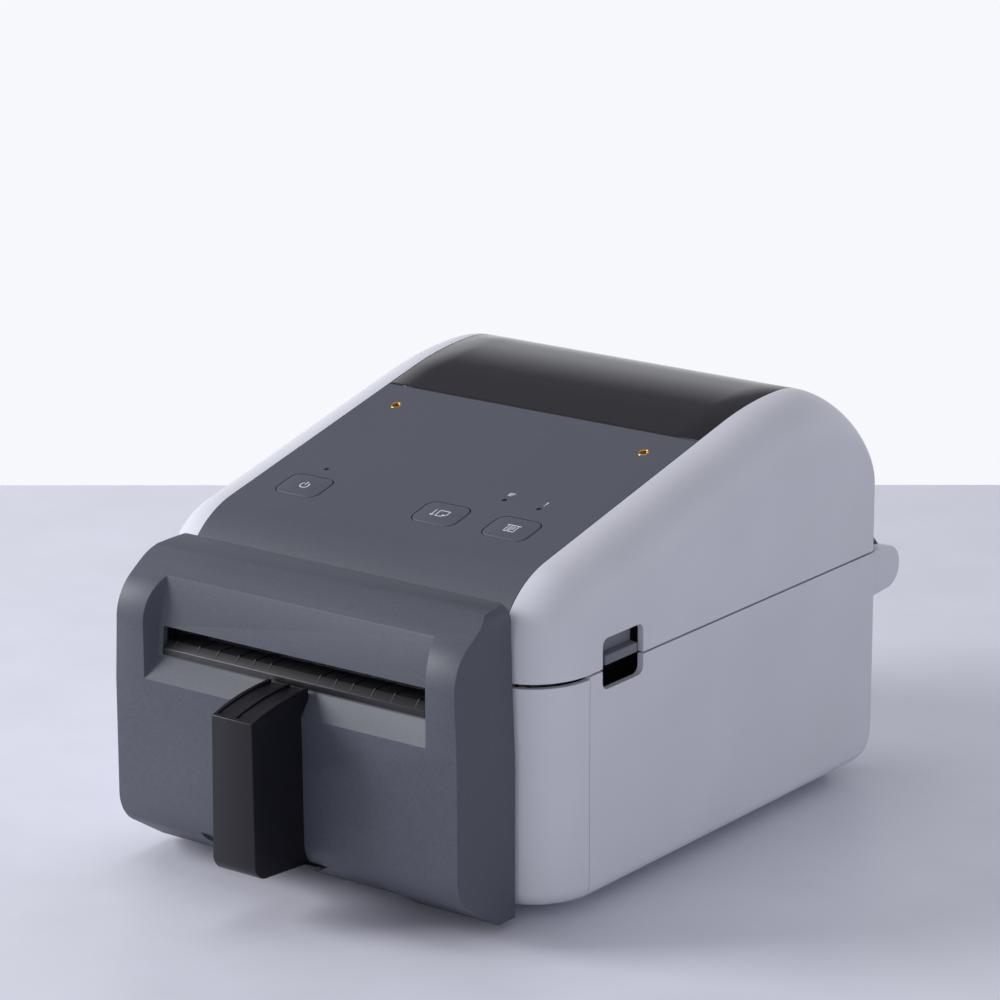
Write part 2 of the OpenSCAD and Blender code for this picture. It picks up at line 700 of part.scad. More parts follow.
module cutter_block(inset) {
    front = cutter_half_front - inset;
    rear = cutter_half_rear - inset;
    face = cutter_face(inset);
    intersection() {
        along_x(-half_w, half_w) polygon(cutter_line(inset));
        along_d(cutter_rear_d - 2, cutter_front_d + 1) polygon(concat(face,
            [for (i = [len(face) - 1:-1:0]) [-face[i][0], face[i][1]]]));
        linear_extrude(body_h) polygon([[-front, cutter_front_d + 1], [-rear, cutter_rear_d - 2],
            [rear, cutter_rear_d - 2], [front, cutter_front_d + 1]]);
    }
}

// Scoop in the front face, grown by grow, with side walls that spread towards the front
module cutter_recess(grow) {
    front = recess_half_w + grow;
    back = recess_back_w + grow;
    spread = (front - back) / recess_deep;
    intersection() {
        along_x(-half_w, half_w) polygon([
            [cutter_front_d + 5, recess_low_z - grow], [cutter_front_d, recess_low_z - grow],
            [cutter_front_d - 5.6 - grow, seam_z - 7.8 - grow / 2],
            [cutter_front_d - 6.6 - grow, slot_z[1]],
            [cutter_front_d - recess_deep - grow, recess_top_z],
            [cutter_front_d + 5, recess_top_z]]);
        linear_extrude(body_h) polygon([
            [-front - 5 * spread, cutter_front_d + 5], [-back, cutter_front_d - recess_deep],
            [-back, cutter_front_d - recess_deep - 5], [back, cutter_front_d - recess_deep - 5],
            [back, cutter_front_d - recess_deep], [front + 5 * spread, cutter_front_d + 5]]);
    }
}

module cutter_cover() color(dark) from_rear() difference() {
    cutter_block(0);
    cutter_recess(0);
    difference() {
        cutter_block(cutter_wall);
        cutter_recess(cutter_wall);
    }
    block([-slot_half_w, cutter_rear_d - 2, slot_z[0]], [slot_half_w, cutter_front_d, slot_z[1]]);
    // shallow step under the chin
    difference() {
        block([-step_half_w, cutter_rear_d + 6, 0], [step_half_w, cutter_front_d + 1, step_z]);
        along_x(-half_w, half_w) polygon(cutter_line(step_deep));
    }
    // slot for the post's bracket
    block([-lug_half_w - free_gap, bracket_d, lug_z],
          [lug_half_w + free_gap, cutter_front_d + 1, lug_z + lug_t]);
    block([-tongue_half_w - free_gap, bracket_d, lug_z],
          [tongue_half_w + free_gap, cutter_front_d + 1, post_z + lug_t]);
}

module cutter_frame() color(steel) from_rear() difference() {
    d0 = cutter_plate_d;
    d1 = cutter_plate_d + cutter_plate_t;
    foot_d = body_d + 1.5;
    union() {
        block([-62, d0, 22], [62, d1, seam_z + 22]);
        both_sides() {
            block([62, body_d, 24], [63.5, d1, seam_z + 22]);
            for (z = screw_rows()) block([63.5, body_d, z - 5], [74, foot_d, z + 5]);
        }
    }
    block([-slot_half_w, d0 - 1, slot_z[0]], [slot_half_w, d1 + 1, slot_z[1] + 0.3]);
    for (x = [-1, 1] * screw_x(), z = screw_rows()) rod_d(body_d - 1, foot_d + 1, x, z, 1.6);
    rod_d(d0 - 1, d1 + 1, blade_pinion_x, blade_pinion_z, 2.5);
}

module fixed_blade() color("lightgray") from_rear()
    block([-58, cutter_plate_d - 1.6, blade_top_z + blade_stroke - 2],
          [58, cutter_plate_d, seam_z + 18]);

module moving_blade() color("lightgray") from_rear() translate([0, blade_d, 0]) difference() {
    union() {
        along_d(0, blade_t) polygon([[-58, blade_top_z - 20], [58, blade_top_z - 20],
            [58, blade_top_z], [0, blade_top_z - 1.6], [-58, blade_top_z]]);
        block([rack_x + 1.2, 0, 30], [rack_x + 8, blade_t, blade_top_z - 19]);
        along_d(0, blade_t) translate([rack_x, blade_pinion_z - 5 * PI]) rotate(90)
            rack_line(10 * PI, 2);
    }
    for (x = [-45, 45]) rod_d(-1, blade_t + 1, x, blade_top_z - 14, 2);
}

module blade_pinion() color("goldenrod") from_rear()
    translate([blade_pinion_x, blade_d - 1, blade_pinion_z]) rotate([-90, 0, 0])
        linear_extrude(blade_t + 1.6) difference() {
            polygon(gear_line(blade_teeth, 0));
            circle(r=1.5);
        }

module cutter_motor() color(steel) from_rear() {
    d1 = cutter_plate_d + cutter_plate_t;
    rod_d(d1, cutter_front_d - cutter_wall - 0.6, blade_pinion_x, blade_pinion_z, 10);
    rod_d(blade_d - 2, d1, blade_pinion_x, blade_pinion_z, 1.5 - run_clear);
}

module cutter_screws() color(steel) from_rear()
    for (x = [-1, 1] * screw_x(), z = screw_rows()) {
        rod_d(body_d + 1.5, body_d + 3.3, x, z, 2.8);
        rod_d(body_d - 6, body_d + 1.5, x, z, 1.5);
    }

module exit_guide() color(black) from_rear() {
    d0 = cutter_plate_d + 0.3;
    d1 = cutter_front_d - 5.5;
    z0 = slot_z[0];
    along_x(-slot_half_w + free_gap, slot_half_w - free_gap) polygon([[d0, z0], [d1, z0],
        [d1, z0 + 2.4], [d1 - 2.9, z0 + 4.9], [d0, z0 + 4.9]]);
    both_sides() for (x = [11, 18.3, 25.7, 34.9, 43.7, 54]) along_x(x - 0.4, x + 0.4)
        polygon([[d0 + 1, z0 + 1], [d1 - 0.3, z0 + 1], [d1 - 0.1, z0 + 2.7],
            [d1 - 2.9, z0 + 5.3], [d0 + 1, z0 + 5.3]]);
}

// ---------- support post ----------

// Side outline of the post, pulled in by inset: its underside slopes down to the rear, its
// rear follows the cutter's face and chin, and its top reaches back over the ledge
function post_line(inset) = let (r = post_low_r - inset, back_r = chin_r + 0.05) concat(
    arc(post_front_d - post_low_r, post_z + 1.4 + post_low_r, r, r, -90, 0, 6),
    [[post_front_d - inset, seam_z - 10.7 - inset], [post_front_d - 11, seam_z - 7.9 - inset],
     [cutter_front_d + 3, seam_z - 6.3 - inset]],
    inset > 0 ? [[cutter_front_d - 1, seam_z - 6.1 - inset], [cutter_front_d - 1, post_z + inset]]
              : concat([[cutter_front_d - 4, seam_z - 5.9], [cutter_front_d - 4, seam_z - 9.7],
                        [cutter_front_d + 0.05, recess_low_z + 0.3]],
                       arc(cutter_front_d - chin_r, chin_h, back_r, back_r, 0,
                           -asin((chin_h - post_z) / back_r), 4)));

module post_block(inset) {
    w = post_half_w - inset;
    r = 2.4 - inset / 2;
    intersection() {
        along_x(-post_half_w * 2, post_half_w * 2) polygon(post_line(inset));
        along_d(cutter_front_d - 5, post_front_d + 1) polygon([[w - 0.2, seam_z],
            [w + 0.6, post_z], [-w - 0.6, post_z], [0.2 - w, seam_z]]);
        linear_extrude(seam_z) polygon(concat([[w + 1, cutter_front_d - 5]],
            arc(w + 0.6 - r, post_front_d - inset - r, r, r, 0, 90, 5),
            arc(r - w - 0.6, post_front_d - inset - r, r, r, 90, 180, 5),
            [[-w - 1, cutter_front_d - 5]]));
    }
}

// Strip along the top of the post from x0 to x1, between two depths under its surface
module post_strip(x0, x1, upper, lower) {
    top = seam_z - 6.3;
    along_x(x0, x1) polygon([[post_front_d - 1.5, top - 4.1 - upper],
        [post_front_d - 11, top - 1.6 - upper], [cutter_front_d + 3, top - upper],
        [cutter_front_d - 3, top + 0.4 - upper], [cutter_front_d - 3, top + 0.4 - lower],
        [cutter_front_d + 3, top - lower], [post_front_d - 11, top - 1.6 - lower],
        [post_front_d - 1.5, top - 4.1 - lower]]);
}

module post_housing() color(black) from_rear() difference() {
    post_block(0);
    intersection() {
        post_block(1.8);
        block([-half_w, cutter_front_d, post_z], [half_w, post_front_d, seam_z - 11]);
    }
    post_strip(-post_half_w + 1.3, post_half_w - 1.3, -3, 1.2);
    block([-tongue_half_w - free_gap, cutter_front_d - 6, post_z - 1],
          [tongue_half_w + free_gap, cutter_front_d + 2.5, post_z + 3]);
}

module post_cap() color("#2a2a30") from_rear() {
    w = post_half_w - 1.4;
    post_strip(-w, w, 0.5, 1.2);
    post_strip(-0.4, 0.4, -0.2, 0.6);
}

module post_bracket() color(black) from_rear() {
    tongue_z = post_z + lug_t - free_gap;
    translate([0, bracket_d + 5.6, lug_z]) linear_extrude(lug_t)
        round_rect(lug_half_w * 2, 11, 2);
    block([-tongue_half_w, bracket_d + 2, post_z - free_gap],
          [tongue_half_w, cutter_front_d + 2.2, tongue_z]);
    block([-tongue_half_w, cutter_front_d + 0.3, post_z],
          [tongue_half_w, cutter_front_d + 2.2, post_z + 14]);
}

// ---------- cover ----------

module cover_shell() color(pale) from_rear() difference() {
    cover_block(0);
    cover_block(wall);
    block([-panel_half_w, -1, window_low_z - free_gap], [panel_half_w, window_d + 1, body_h + 1]);
    block([-panel_half_w, window_d, 0], [panel_half_w, body_d + 1, body_h + 1]);
    both_sides() {
        latch_cut();
        block([rail_x0 - 2, -1, 0], [lug_x0 + 1, wall + 1, hinge_z + 20]);
    }
    block([-half_w, -1, 0], [half_w, body_d, seam_z + seam_gap]);
}
window_low_z = body_h - 23;

module control_panel() color(dark) from_rear() {
    hw = panel_half_w - free_gap;
    difference() {
        roof_slab(0, wall, hw);
        block([-half_w, -1, 0], [half_w, window_d, body_h + 1]);
        block([-half_w, -1, 0], [half_w, body_d + 1, seam_z + seam_gap]);
        for (x = buttons) on_panel(x, button_d) translate([0, 0, -wall - 1])
            linear_extrude(wall + 4) round_rect(button_w + 0.6, button_l + 0.6, 4);
        for (p = leds) on_panel(p[0], p[1]) translate([0, 0, -wall - 1]) cylinder(r=1, h=wall + 4);
        for (x = [-1, 1] * insert_x) on_panel(x, insert_d) translate([0, 0, -5.7])
            cylinder(r=2.4, h=10);
    }
    for (x = [-1, 1] * insert_x) on_panel(x, insert_d) translate([0, 0, -6.5]) difference() {
        cylinder(r=4.2, h=6.5 - wall + 0.2);
        translate([0, 0, 0.8]) cylinder(r=2.4, h=8);
    }
    for (x = [12.6 - panel_half_w, 28, panel_half_w - 12.6]) on_panel(x, button_d + 12)
        translate([0, 0, -10])
            cylinder(r=2.5, h=10 - wall + 0.2);
}

module window() color("#4a4852") from_rear() difference() {
    roof_slab(0, 2.4, panel_half_w - free_gap);
    block([-half_w, window_d - free_gap, 0], [half_w, body_d + 1, body_h + 1]);
    block([-half_w, -1, 0], [half_w, body_d, window_low_z]);
}

module insert_at(x) color("goldenrod") from_rear() on_panel(x, insert_d)
    translate([0, 0, -5.7]) difference() {
        cylinder(r=2.4, h=5.7);
        translate([0, 0, -1]) cylinder(r=insert_bore_r, h=8);
    }
module insert_left() insert_at(-insert_x);
module insert_right() insert_at(insert_x);

module button_at(x) color(dark) from_rear() on_panel(x, button_d) {
    translate([0, 0, -5]) linear_extrude(5.2) round_rect(button_w, button_l, 3.8);
    translate([0, 0, -5]) linear_extrude(1.1) round_rect(button_w + 2.4, button_l + 2.4, 4.5);
}
module power_button() button_at(buttons[0]);
module feed_button() button_at(buttons[1]);
module print_button() button_at(buttons[2]);

module button_board() color("darkgreen") from_rear() on_panel(0, button_d) {
    w = panel_half_w - 6.6;
    translate([0, 0, -11.6]) linear_extrude(1.6) polygon([[-w, -8], [w, -8], [w, 18], [-w, 18]]);
}

module button_switches() color(black) from_rear() for (x = buttons) on_panel(x, button_d) {
    translate([-3, -3, -10]) cube([6, 6, 3.1]);
    translate([0, 0, -7]) cylinder(r=1.7, h=1.9 - button_travel);
}

module led_lenses() color("ivory") from_rear() for (p = leds) on_panel(p[0], p[1])
    translate([0, 0, -9.8]) cylinder(r=0.9, h=9.9);

module cover_frame() color(dark) from_rear() {
    inner = wall + 3;
    band = 12;
    both_sides() difference() {
        union() {
            along_x(rail_x0, rail_x1) difference() {
                polygon(roof_line(inner, inner + 3, inner, seam_z + 3));
                polygon(roof_line(inner + band, inner + band, inner + band, seam_z + 2));
            }
            rod_x(rail_x0, rail_x1, latch_d, latch_z, 6);
            along_x(rail_x0, rail_x1) polygon([[latch_d - 6, latch_z], [latch_d + 6, latch_z],
                [latch_d + 10, panel_z(latch_d + 10) - inner - 2],
                [latch_d - 6, panel_z(latch_d - 6) - inner - 2]]);
            // hinge arm over the case's rear wall
            along_x(rail_x0, lug_x0 - 0.5) polygon([[inner + band, hinge_z + 24],
                [-2, hinge_z + 16], [hinge_d - 5, hinge_z + 5], [hinge_d, hinge_z],
                [-2, hinge_z + 2], [-0.8, hinge_z + 10.5], [inner + band, hinge_z + 12]]);
            rod_x(rail_x0, lug_x0 - 0.5, hinge_d, hinge_z, 7);
        }
        rod_x(0, lug_x0, hinge_d, hinge_z, hinge_pin_r + run_clear);
        rod_x(0, half_w, latch_d, latch_z, latch_r + run_clear);
    }
    // cross members
    block([-rail_x0, 12, seam_z + 26], [rail_x0, 16, seam_z + 38]);
    block([-rail_x0, body_d - 42, seam_z + 6], [rail_x0, body_d - 39.5, seam_z + 26]);
    // flag that the cover sensor reads
    block([plate_x1 + 3.6, body_d - 50, seam_z - 8], [plate_x1 + 4.8, body_d - 44, seam_z + 8]);
    block([plate_x1 + 3.6, body_d - 50, seam_z + 6], [rail_x0, body_d - 39.5, seam_z + 8]);
}

module head_bracket() color(steel) from_rear() {
    block([-rail_x0, platen_d - 8, head_z + 17.3], [rail_x0, platen_d + 4, head_z + 18.8]);
    both_sides() block([rail_x0 - 1.5, platen_d - 8, head_z + 8],
                       [rail_x0, platen_d + 2, head_z + 17.3]);
}

module print_head() color("lightgray") from_rear() {
    block([-platen_half_l, platen_d - 7, head_z], [platen_half_l, platen_d + 6, head_z + 2.2]);
}

module heat_sink() color("silver") from_rear() difference() {
    block([-platen_half_l - 2, platen_d - 6, head_z + 2.2],
          [platen_half_l + 2, platen_d + 5, head_z + 11.2]);
    for (d = [platen_d - 3.5:3:platen_d + 3]) block([-platen_half_l - 3, d, head_z + 5],
        [platen_half_l + 3, d + 1.5, head_z + 8.8]);
}

module head_springs() color(steel) from_rear() for (x = [-34, 34])
    translate([x, platen_d - 1, head_z + 11.25]) coil_spring(3.2, 0.5, 6, 4);

module latch_spring() color(steel) from_rear() translate([40, latch_d, latch_z])
    rotate([0, 90, 0]) coil_spring(latch_r + 1.3, 0.5, 9, 6);

// ---------- latch ----------

module latch_shaft() color(steel) from_rear()
    rod_x(-tab_x0, tab_x0, latch_d, latch_z, latch_r);

module latch_hooks() color(steel) from_rear() both_sides() difference() {
    z0 = latch_z - 28.4;
    pin_d = latch_d + 5;
    union() {
        rod_x(hook_x0, hook_x1, latch_d, latch_z, 5);
        along_x(hook_x0, hook_x1) polygon([[latch_d - 4.5, latch_z], [latch_d + 4.5, latch_z],
            [pin_d - 2.7, z0], [pin_d + 1, z0], [pin_d + 1, z0 - 1.2], [pin_d - 3, z0 - 3.5],
            [pin_d - 7, z0 - 3.5]]);
    }
    rod_x(0, half_w, latch_d, latch_z, latch_r);
}

module latch_tab() {
    z0 = seam_z + 0.9;
    z1 = seam_z + 5;
    d0 = latch_window[0] + 2.6;
    d1 = latch_window[1] - 0.9;
    difference() {
        union() {
            rod_x(rail_x1 + 0.6, tab_x0, latch_d, latch_z, 5);
            along_x(rail_x1 + 0.6, tab_x0) polygon([[latch_d - 5, latch_z], [latch_d + 5, latch_z],
                [latch_d + 1, z0], [d0, z0], [d0, z1 + 3], [latch_d - 8, z1 + 5]]);
            block([tab_x0 - 0.1, d0, z0], [tab_x0 + 1.4, d1, seam_z + 10.4]);
            block([tab_x0 + 1.3, d0, z0], [tab_x1, d1, z1]);
        }
        rod_x(0, tab_x0, latch_d, latch_z, latch_r);
    }
}
module latch_tab_right() color(dark) from_rear() latch_tab();
module latch_tab_left() color(dark) from_rear() mirror([1, 0, 0]) latch_tab();

// ---------- the printer ----------

lower_case();
front_bezel();
roll_tray();
mechanism_frame();
platen_bushes();
feed_motor();
label_sensor();
cover_sensor();
main_board();
dc_inlet();
usb_port();
usb_host_port();
network_port();
hinge_pin_left();
hinge_pin_right();
case_screws();
foot_front_left();
foot_front_right();
foot_rear_left();
foot_rear_right();
cutter_cover();
cutter_frame();
fixed_blade();
exit_guide();
cutter_motor();
cutter_screws();
post_housing();
post_cap();
post_bracket();
platen_shaft();
platen_rubber();
platen_gear();
idler_gear();
motor_pinion();
roll_guide_left();
roll_guide_right();
guide_pinion();
moving_blade();
blade_pinion();
cover_shell();
cover_frame();
control_panel();
window();
insert_left();
insert_right();
button_board();
button_switches();
led_lenses();
head_bracket();
head_springs();
latch_spring();
print_head();
heat_sink();
power_button();
feed_button();
print_button();
latch_shaft();
latch_hooks();
latch_tab_left();
latch_tab_right();
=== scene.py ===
"""Desktop label printer: rounded cover with a smoked window, control panel, cutter unit and post."""

import json
import math

import bmesh
import bpy
from mathutils import Matrix, Vector


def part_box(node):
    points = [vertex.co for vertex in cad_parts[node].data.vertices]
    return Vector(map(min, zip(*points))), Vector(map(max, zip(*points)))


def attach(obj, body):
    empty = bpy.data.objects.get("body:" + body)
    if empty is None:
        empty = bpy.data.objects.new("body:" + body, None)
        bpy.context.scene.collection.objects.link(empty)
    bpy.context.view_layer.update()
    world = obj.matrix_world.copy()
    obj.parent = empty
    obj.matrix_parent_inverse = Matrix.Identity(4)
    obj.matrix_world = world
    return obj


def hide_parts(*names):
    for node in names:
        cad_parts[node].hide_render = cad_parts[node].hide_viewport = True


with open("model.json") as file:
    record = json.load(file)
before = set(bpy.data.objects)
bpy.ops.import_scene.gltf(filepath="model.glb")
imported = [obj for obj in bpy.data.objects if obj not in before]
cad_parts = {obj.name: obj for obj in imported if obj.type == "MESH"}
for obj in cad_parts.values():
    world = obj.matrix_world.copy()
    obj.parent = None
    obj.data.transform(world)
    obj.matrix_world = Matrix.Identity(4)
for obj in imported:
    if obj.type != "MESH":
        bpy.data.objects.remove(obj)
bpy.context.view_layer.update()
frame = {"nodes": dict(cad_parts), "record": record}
NODES = frame["nodes"]

bl_info = {
    "name": "Label Printer",
    "version": (1, 0, 0),
    "blender": (4, 5, 0),
    "location": "View3D > Sidebar > Label Printer",
    "description": "Builds the looks of a desktop label printer round its packed frame",
    "category": "Object",
}

MM = 0.001
REAR_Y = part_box("cover_shell")[1].y      # the rear wall; d is the distance forward of it
BODY_D = (REAR_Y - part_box("front_bezel")[0].y) / MM
BODY_W = 2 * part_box("lower_case")[1].x / MM
BODY_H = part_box("window")[1].z / MM
SEAM_Z = 87.0
CASE_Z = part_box("lower_case")[0].z / MM
CUTTER_FRONT = (REAR_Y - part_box("cutter_cover")[0].y) / MM
POST_FRONT = (REAR_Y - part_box("post_housing")[0].y) / MM
POST_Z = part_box("post_housing")[0].z / MM


# ---------- settings ----------


class LabelPrinterSizes(bpy.types.PropertyGroup):
    """Sizes that shape the skins of the printer."""

    wall: bpy.props.FloatProperty(
        name="Wall", description="Thickness of a moulded wall", default=2.4 * MM,
        min=0.001, max=0.003, unit="LENGTH")
    seam: bpy.props.FloatProperty(
        name="Seam", description="Half of the gap at a seam", default=0.4 * MM,
        min=0.0001, max=0.001, unit="LENGTH")
    slope: bpy.props.FloatProperty(
        name="Slope", description="Downward slope of the control panel",
        default=math.radians(13.5), subtype="ANGLE")
    panel_half: bpy.props.FloatProperty(
        name="Panel half width", description="Half the width of the panel's opening",
        default=70.6 * MM, unit="LENGTH")


class LabelPrinterColours(bpy.types.PropertyGroup):
    """Colours of the plastics and of the print on them."""

    case: bpy.props.FloatVectorProperty(
        name="Case", description="Pale plastic of the case and the cover", size=3,
        default=(0.65, 0.66, 0.73), min=0, max=1, subtype="COLOR")
    panel: bpy.props.FloatVectorProperty(
        name="Panel", description="Dark plastic of the panel and the cutter unit", size=3,
        default=(0.071, 0.079, 0.103), min=0, max=1, subtype="COLOR")
    post: bpy.props.FloatVectorProperty(
        name="Post", description="Black plastic of the support post", size=3,
        default=(0.007, 0.007, 0.011), min=0, max=1, subtype="COLOR")
    ink: bpy.props.FloatVectorProperty(
        name="Ink", description="Pale print of the signs", size=3,
        default=(0.62, 0.66, 0.78), min=0, max=1, subtype="COLOR")
    floor: bpy.props.FloatVectorProperty(
        name="Floor", description="Top of the table", size=3,
        default=(0.78, 0.79, 0.89), min=0, max=1, subtype="COLOR")


def sizes():
    return bpy.context.scene.label_printer_sizes


def colours():
    return bpy.context.scene.label_printer_colours


# ---------- outlines, in millimetres ----------


def place(x, d, z):
    """A point across x, forward d and up z, in metres in the printer's own frame."""
    return Vector((x * MM, REAR_Y - d * MM, z * MM))


def arc(cx, cy, rx, ry, a0, a1, steps):
    """Points of an elliptical arc, angles in degrees."""
    angles = [math.radians(a0 + (a1 - a0) * i / steps) for i in range(steps + 1)]
    return [(cx + rx * math.cos(a), cy + ry * math.sin(a)) for a in angles]


# arcs of the roof, and the plan corners that the cover and the case share
REAR_R, RIDGE_R, NOSE_R, TIP_R, TURN = 42, 159, 38, 20, 45
CORNER_X, CORNER_FRONT, CORNER_REAR = 20, 24, 4
SHOULDER = 18
FIT_GAP = 0.3


def panel_z(d):
    """Height of the sloping panel."""
    slope = sizes().slope
    end_d = REAR_R + RIDGE_R * math.sin(slope)
    end_z = BODY_H - RIDGE_R * (1 - math.cos(slope))
    return end_z - math.tan(slope) * (d - end_d)


def nose_centres():
    """Centres of the two arcs of the nose."""
    turn = math.radians(TURN)
    d = BODY_D - TIP_R - (NOSE_R - TIP_R) * math.sin(turn)
    z = panel_z(d) - NOSE_R / math.cos(sizes().slope)
    return (d, z), (BODY_D - TIP_R, z + (NOSE_R - TIP_R) * math.cos(turn))


def roof(top, front, rear, low):
    """Roof outline from the front seam over the ridge to the rear seam, pulled in."""
    slope = math.degrees(sizes().slope)
    (nose_d, nose_z), (tip_d, tip_z) = nose_centres()
    turn = math.sin(math.radians(TURN))
    side = [(BODY_D - front, low + (tip_z - low) * i / 2) for i in range(2)]
    tip = arc(tip_d, tip_z, TIP_R - front, TIP_R - top, 0, TURN, 12)
    nose = arc(nose_d, nose_z, NOSE_R - front * turn - top * (1 - turn), NOSE_R - top,
               90 - TURN + 3, 90 - slope, 12)
    first, last = nose[-1], (REAR_R, BODY_H - RIDGE_R)
    ridge = arc(last[0], last[1], RIDGE_R - top, RIDGE_R - top, 90 - slope, 90, 12)
    plane = [tuple(a + (b - a) * i / 8 for a, b in zip(first, ridge[0])) for i in range(1, 8)]
    back = arc(REAR_R, BODY_H - REAR_R, REAR_R - rear, REAR_R - top, 93, 180, 30)
    wall = [(rear, low + (BODY_H - REAR_R - low) * (1 - i / 2)) for i in range(1, 3)]
    return side + tip + nose + plane + ridge + back + wall


# ---------- modelling ----------


def clear_selection():
    """Leaves nothing selected."""
    if bpy.context.mode != "OBJECT":
        bpy.ops.object.mode_set(mode="OBJECT")
    bpy.ops.object.select_all(action="DESELECT")


def pick(obj):
    """Selects one object alone and makes it active."""
    clear_selection()
    obj.select_set(True)
    bpy.context.view_layer.objects.active = obj


def edit_all(obj):
    """Opens one object in edit mode with all of it selected."""
    pick(obj)
    bpy.ops.object.mode_set(mode="EDIT")
    bpy.ops.mesh.select_all(action="SELECT")


def tidy_mesh(obj):
    """Merges doubles and turns every face outwards."""
    edit_all(obj)
    bpy.ops.mesh.remove_doubles(threshold=1e-6)
    bpy.ops.mesh.normals_make_consistent(inside=False)
    bpy.ops.object.mode_set(mode="OBJECT")


def surface(name, rows):
    """A grid primitive shaped to rows of points."""
    clear_selection()
    bpy.ops.mesh.primitive_grid_add(
        x_subdivisions=len(rows[0]) - 1, y_subdivisions=len(rows) - 1, size=0.1)
    obj = bpy.context.object
    obj.name = name
    for vert, point in zip(obj.data.vertices, [p for row in rows for p in row]):
        vert.co = point
    return obj


def flat(name, points):
    """A circle primitive with one face, shaped to an outline."""
    clear_selection()
    bpy.ops.mesh.primitive_circle_add(vertices=len(points), fill_type="NGON", radius=0.1)
    obj = bpy.context.object
    obj.name = name
    for vert, point in zip(obj.data.vertices, points):
        vert.co = point
    return obj


def raised(name, points, along):
    """An outline extruded into a solid."""
    obj = flat(name, points)
    edit_all(obj)
    bpy.ops.mesh.extrude_region_move(TRANSFORM_OT_translate={"value": along})
    bpy.ops.object.mode_set(mode="OBJECT")
    tidy_mesh(obj)
    return obj


def slab_x(name, outline, x0, x1):
    """A side outline in d, z extruded across."""
    return raised(name, [place(x0, d, z) for d, z in outline], Vector(((x1 - x0) * MM, 0, 0)))


def slab_d(name, outline, d0, d1):
    """A front outline in x, z extruded forward."""
    return raised(name, [place(x, d0, z) for x, z in outline], Vector((0, (d0 - d1) * MM, 0)))


def slab_z(name, outline, z0, z1):
    """A plan outline in x, d extruded upward."""
    return raised(name, [place(x, d, z0) for x, d in outline], Vector((0, 0, (z1 - z0) * MM)))


def box_outline(a0, a1, b0, b1):
    return [(a0, b0), (a1, b0), (a1, b1), (a0, b1)]


def rounded(cx, cy, w, h, r, steps=6):
    """Outline of a rounded rectangle."""
    return (arc(cx + w / 2 - r, cy + h / 2 - r, r, r, 0, 90, steps)
            + arc(cx - w / 2 + r, cy + h / 2 - r, r, r, 90, 180, steps)
            + arc(cx - w / 2 + r, cy - h / 2 + r, r, r, 180, 270, steps)
            + arc(cx + w / 2 - r, cy - h / 2 + r, r, r, 270, 360, steps))


def combine(obj, *others, how="DIFFERENCE"):
    """Boolean with other solids, which are used up."""
    for other in others:
        pick(obj)
        bpy.ops.object.modifier_add(type="BOOLEAN")
        mod = obj.modifiers[-1]
        mod.operation = how
        mod.solver = "EXACT"
        mod.object = other
        bpy.ops.object.modifier_apply(modifier=mod.name)
        bpy.data.objects.remove(other)
    return obj


def thicken(obj, wall):
    """Gives a sheet its wall, inwards."""
    pick(obj)
    bpy.ops.object.modifier_add(type="SOLIDIFY")
    mod = obj.modifiers[-1]
    mod.thickness = wall
    mod.offset = -1
    mod.use_even_offset = True
    bpy.ops.object.modifier_apply(modifier=mod.name)
    return obj


def soften(obj, width, segments=3, angle=40):
    """Rounds the sharp edges."""
    pick(obj)
    bpy.ops.object.modifier_add(type="BEVEL")
    mod = obj.modifiers[-1]
    mod.width = width
    mod.segments = segments
    mod.limit_method = "ANGLE"
    mod.angle_limit = math.radians(angle)
    mod.use_clamp_overlap = True
    mod.miter_outer = "MITER_ARC"
    bpy.ops.object.modifier_apply(modifier=mod.name)
    return obj


def soften_where(obj, width, wanted, segments=2, angle=35):
    """Rounds the sharp edges whose two ends are both wanted."""
    pick(obj)
    bpy.ops.object.mode_set(mode="EDIT")
    bpy.ops.mesh.select_mode(type="EDGE")
    bpy.ops.mesh.select_all(action="DESELECT")
    bm = bmesh.from_edit_mesh(obj.data)
    for edge in bm.edges:
        sharp = len(edge.link_faces) == 2 and edge.calc_face_angle(0) > math.radians(angle)
        if sharp and all(wanted(v.co / MM) for v in edge.verts):
            edge.select_set(True)
    bmesh.update_edit_mesh(obj.data)
    bpy.ops.mesh.bevel(offset=width, segments=segments, affect="EDGES", clamp_overlap=True)
    bpy.ops.object.mode_set(mode="OBJECT")
    return obj


def smooth(obj, angle=28):
    """Shades smooth across edges flatter than the angle."""
    pick(obj)
    bpy.ops.object.shade_smooth_by_angle(angle=math.radians(angle))
    return obj


def join(name, *objs):
    """Joins objects into the first of them."""
    clear_selection()
    for o in objs:
        o.select_set(True)
    bpy.context.view_layer.objects.active = objs[0]
    if len(objs) > 1:
        bpy.ops.object.join()
    objs[0].name = name
    return objs[0]


def twin(name, obj):
    """A mirrored copy across the middle of the printer, with its own mesh."""
    copy = obj.copy()
    copy.data = obj.data.copy()
    copy.name = name
    bpy.context.collection.objects.link(copy)
    copy.data.transform(Matrix.Scale(-1, 4, Vector((1, 0, 0))))
    edit_all(copy)
    bpy.ops.mesh.flip_normals()
    bpy.ops.object.mode_set(mode="OBJECT")
    return copy


def copied(name, obj, shift):
    """A copy moved by shift, with its own mesh."""
    copy = obj.copy()
    copy.data = obj.data.copy()
    copy.name = name
    bpy.context.collection.objects.link(copy)
    copy.data.transform(Matrix.Translation(shift))
    return copy


def finish_piece(obj, body, slot_name, material, *replaced):
    """Rides the piece on its body, with its material and the nodes that it stands for."""
    obj.data.materials.clear()
    obj.data.materials.append(material)
    obj.data.name = obj.name
    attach(obj, body)
    if replaced:
        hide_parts(*replaced)
    return obj


# ---------- materials ----------


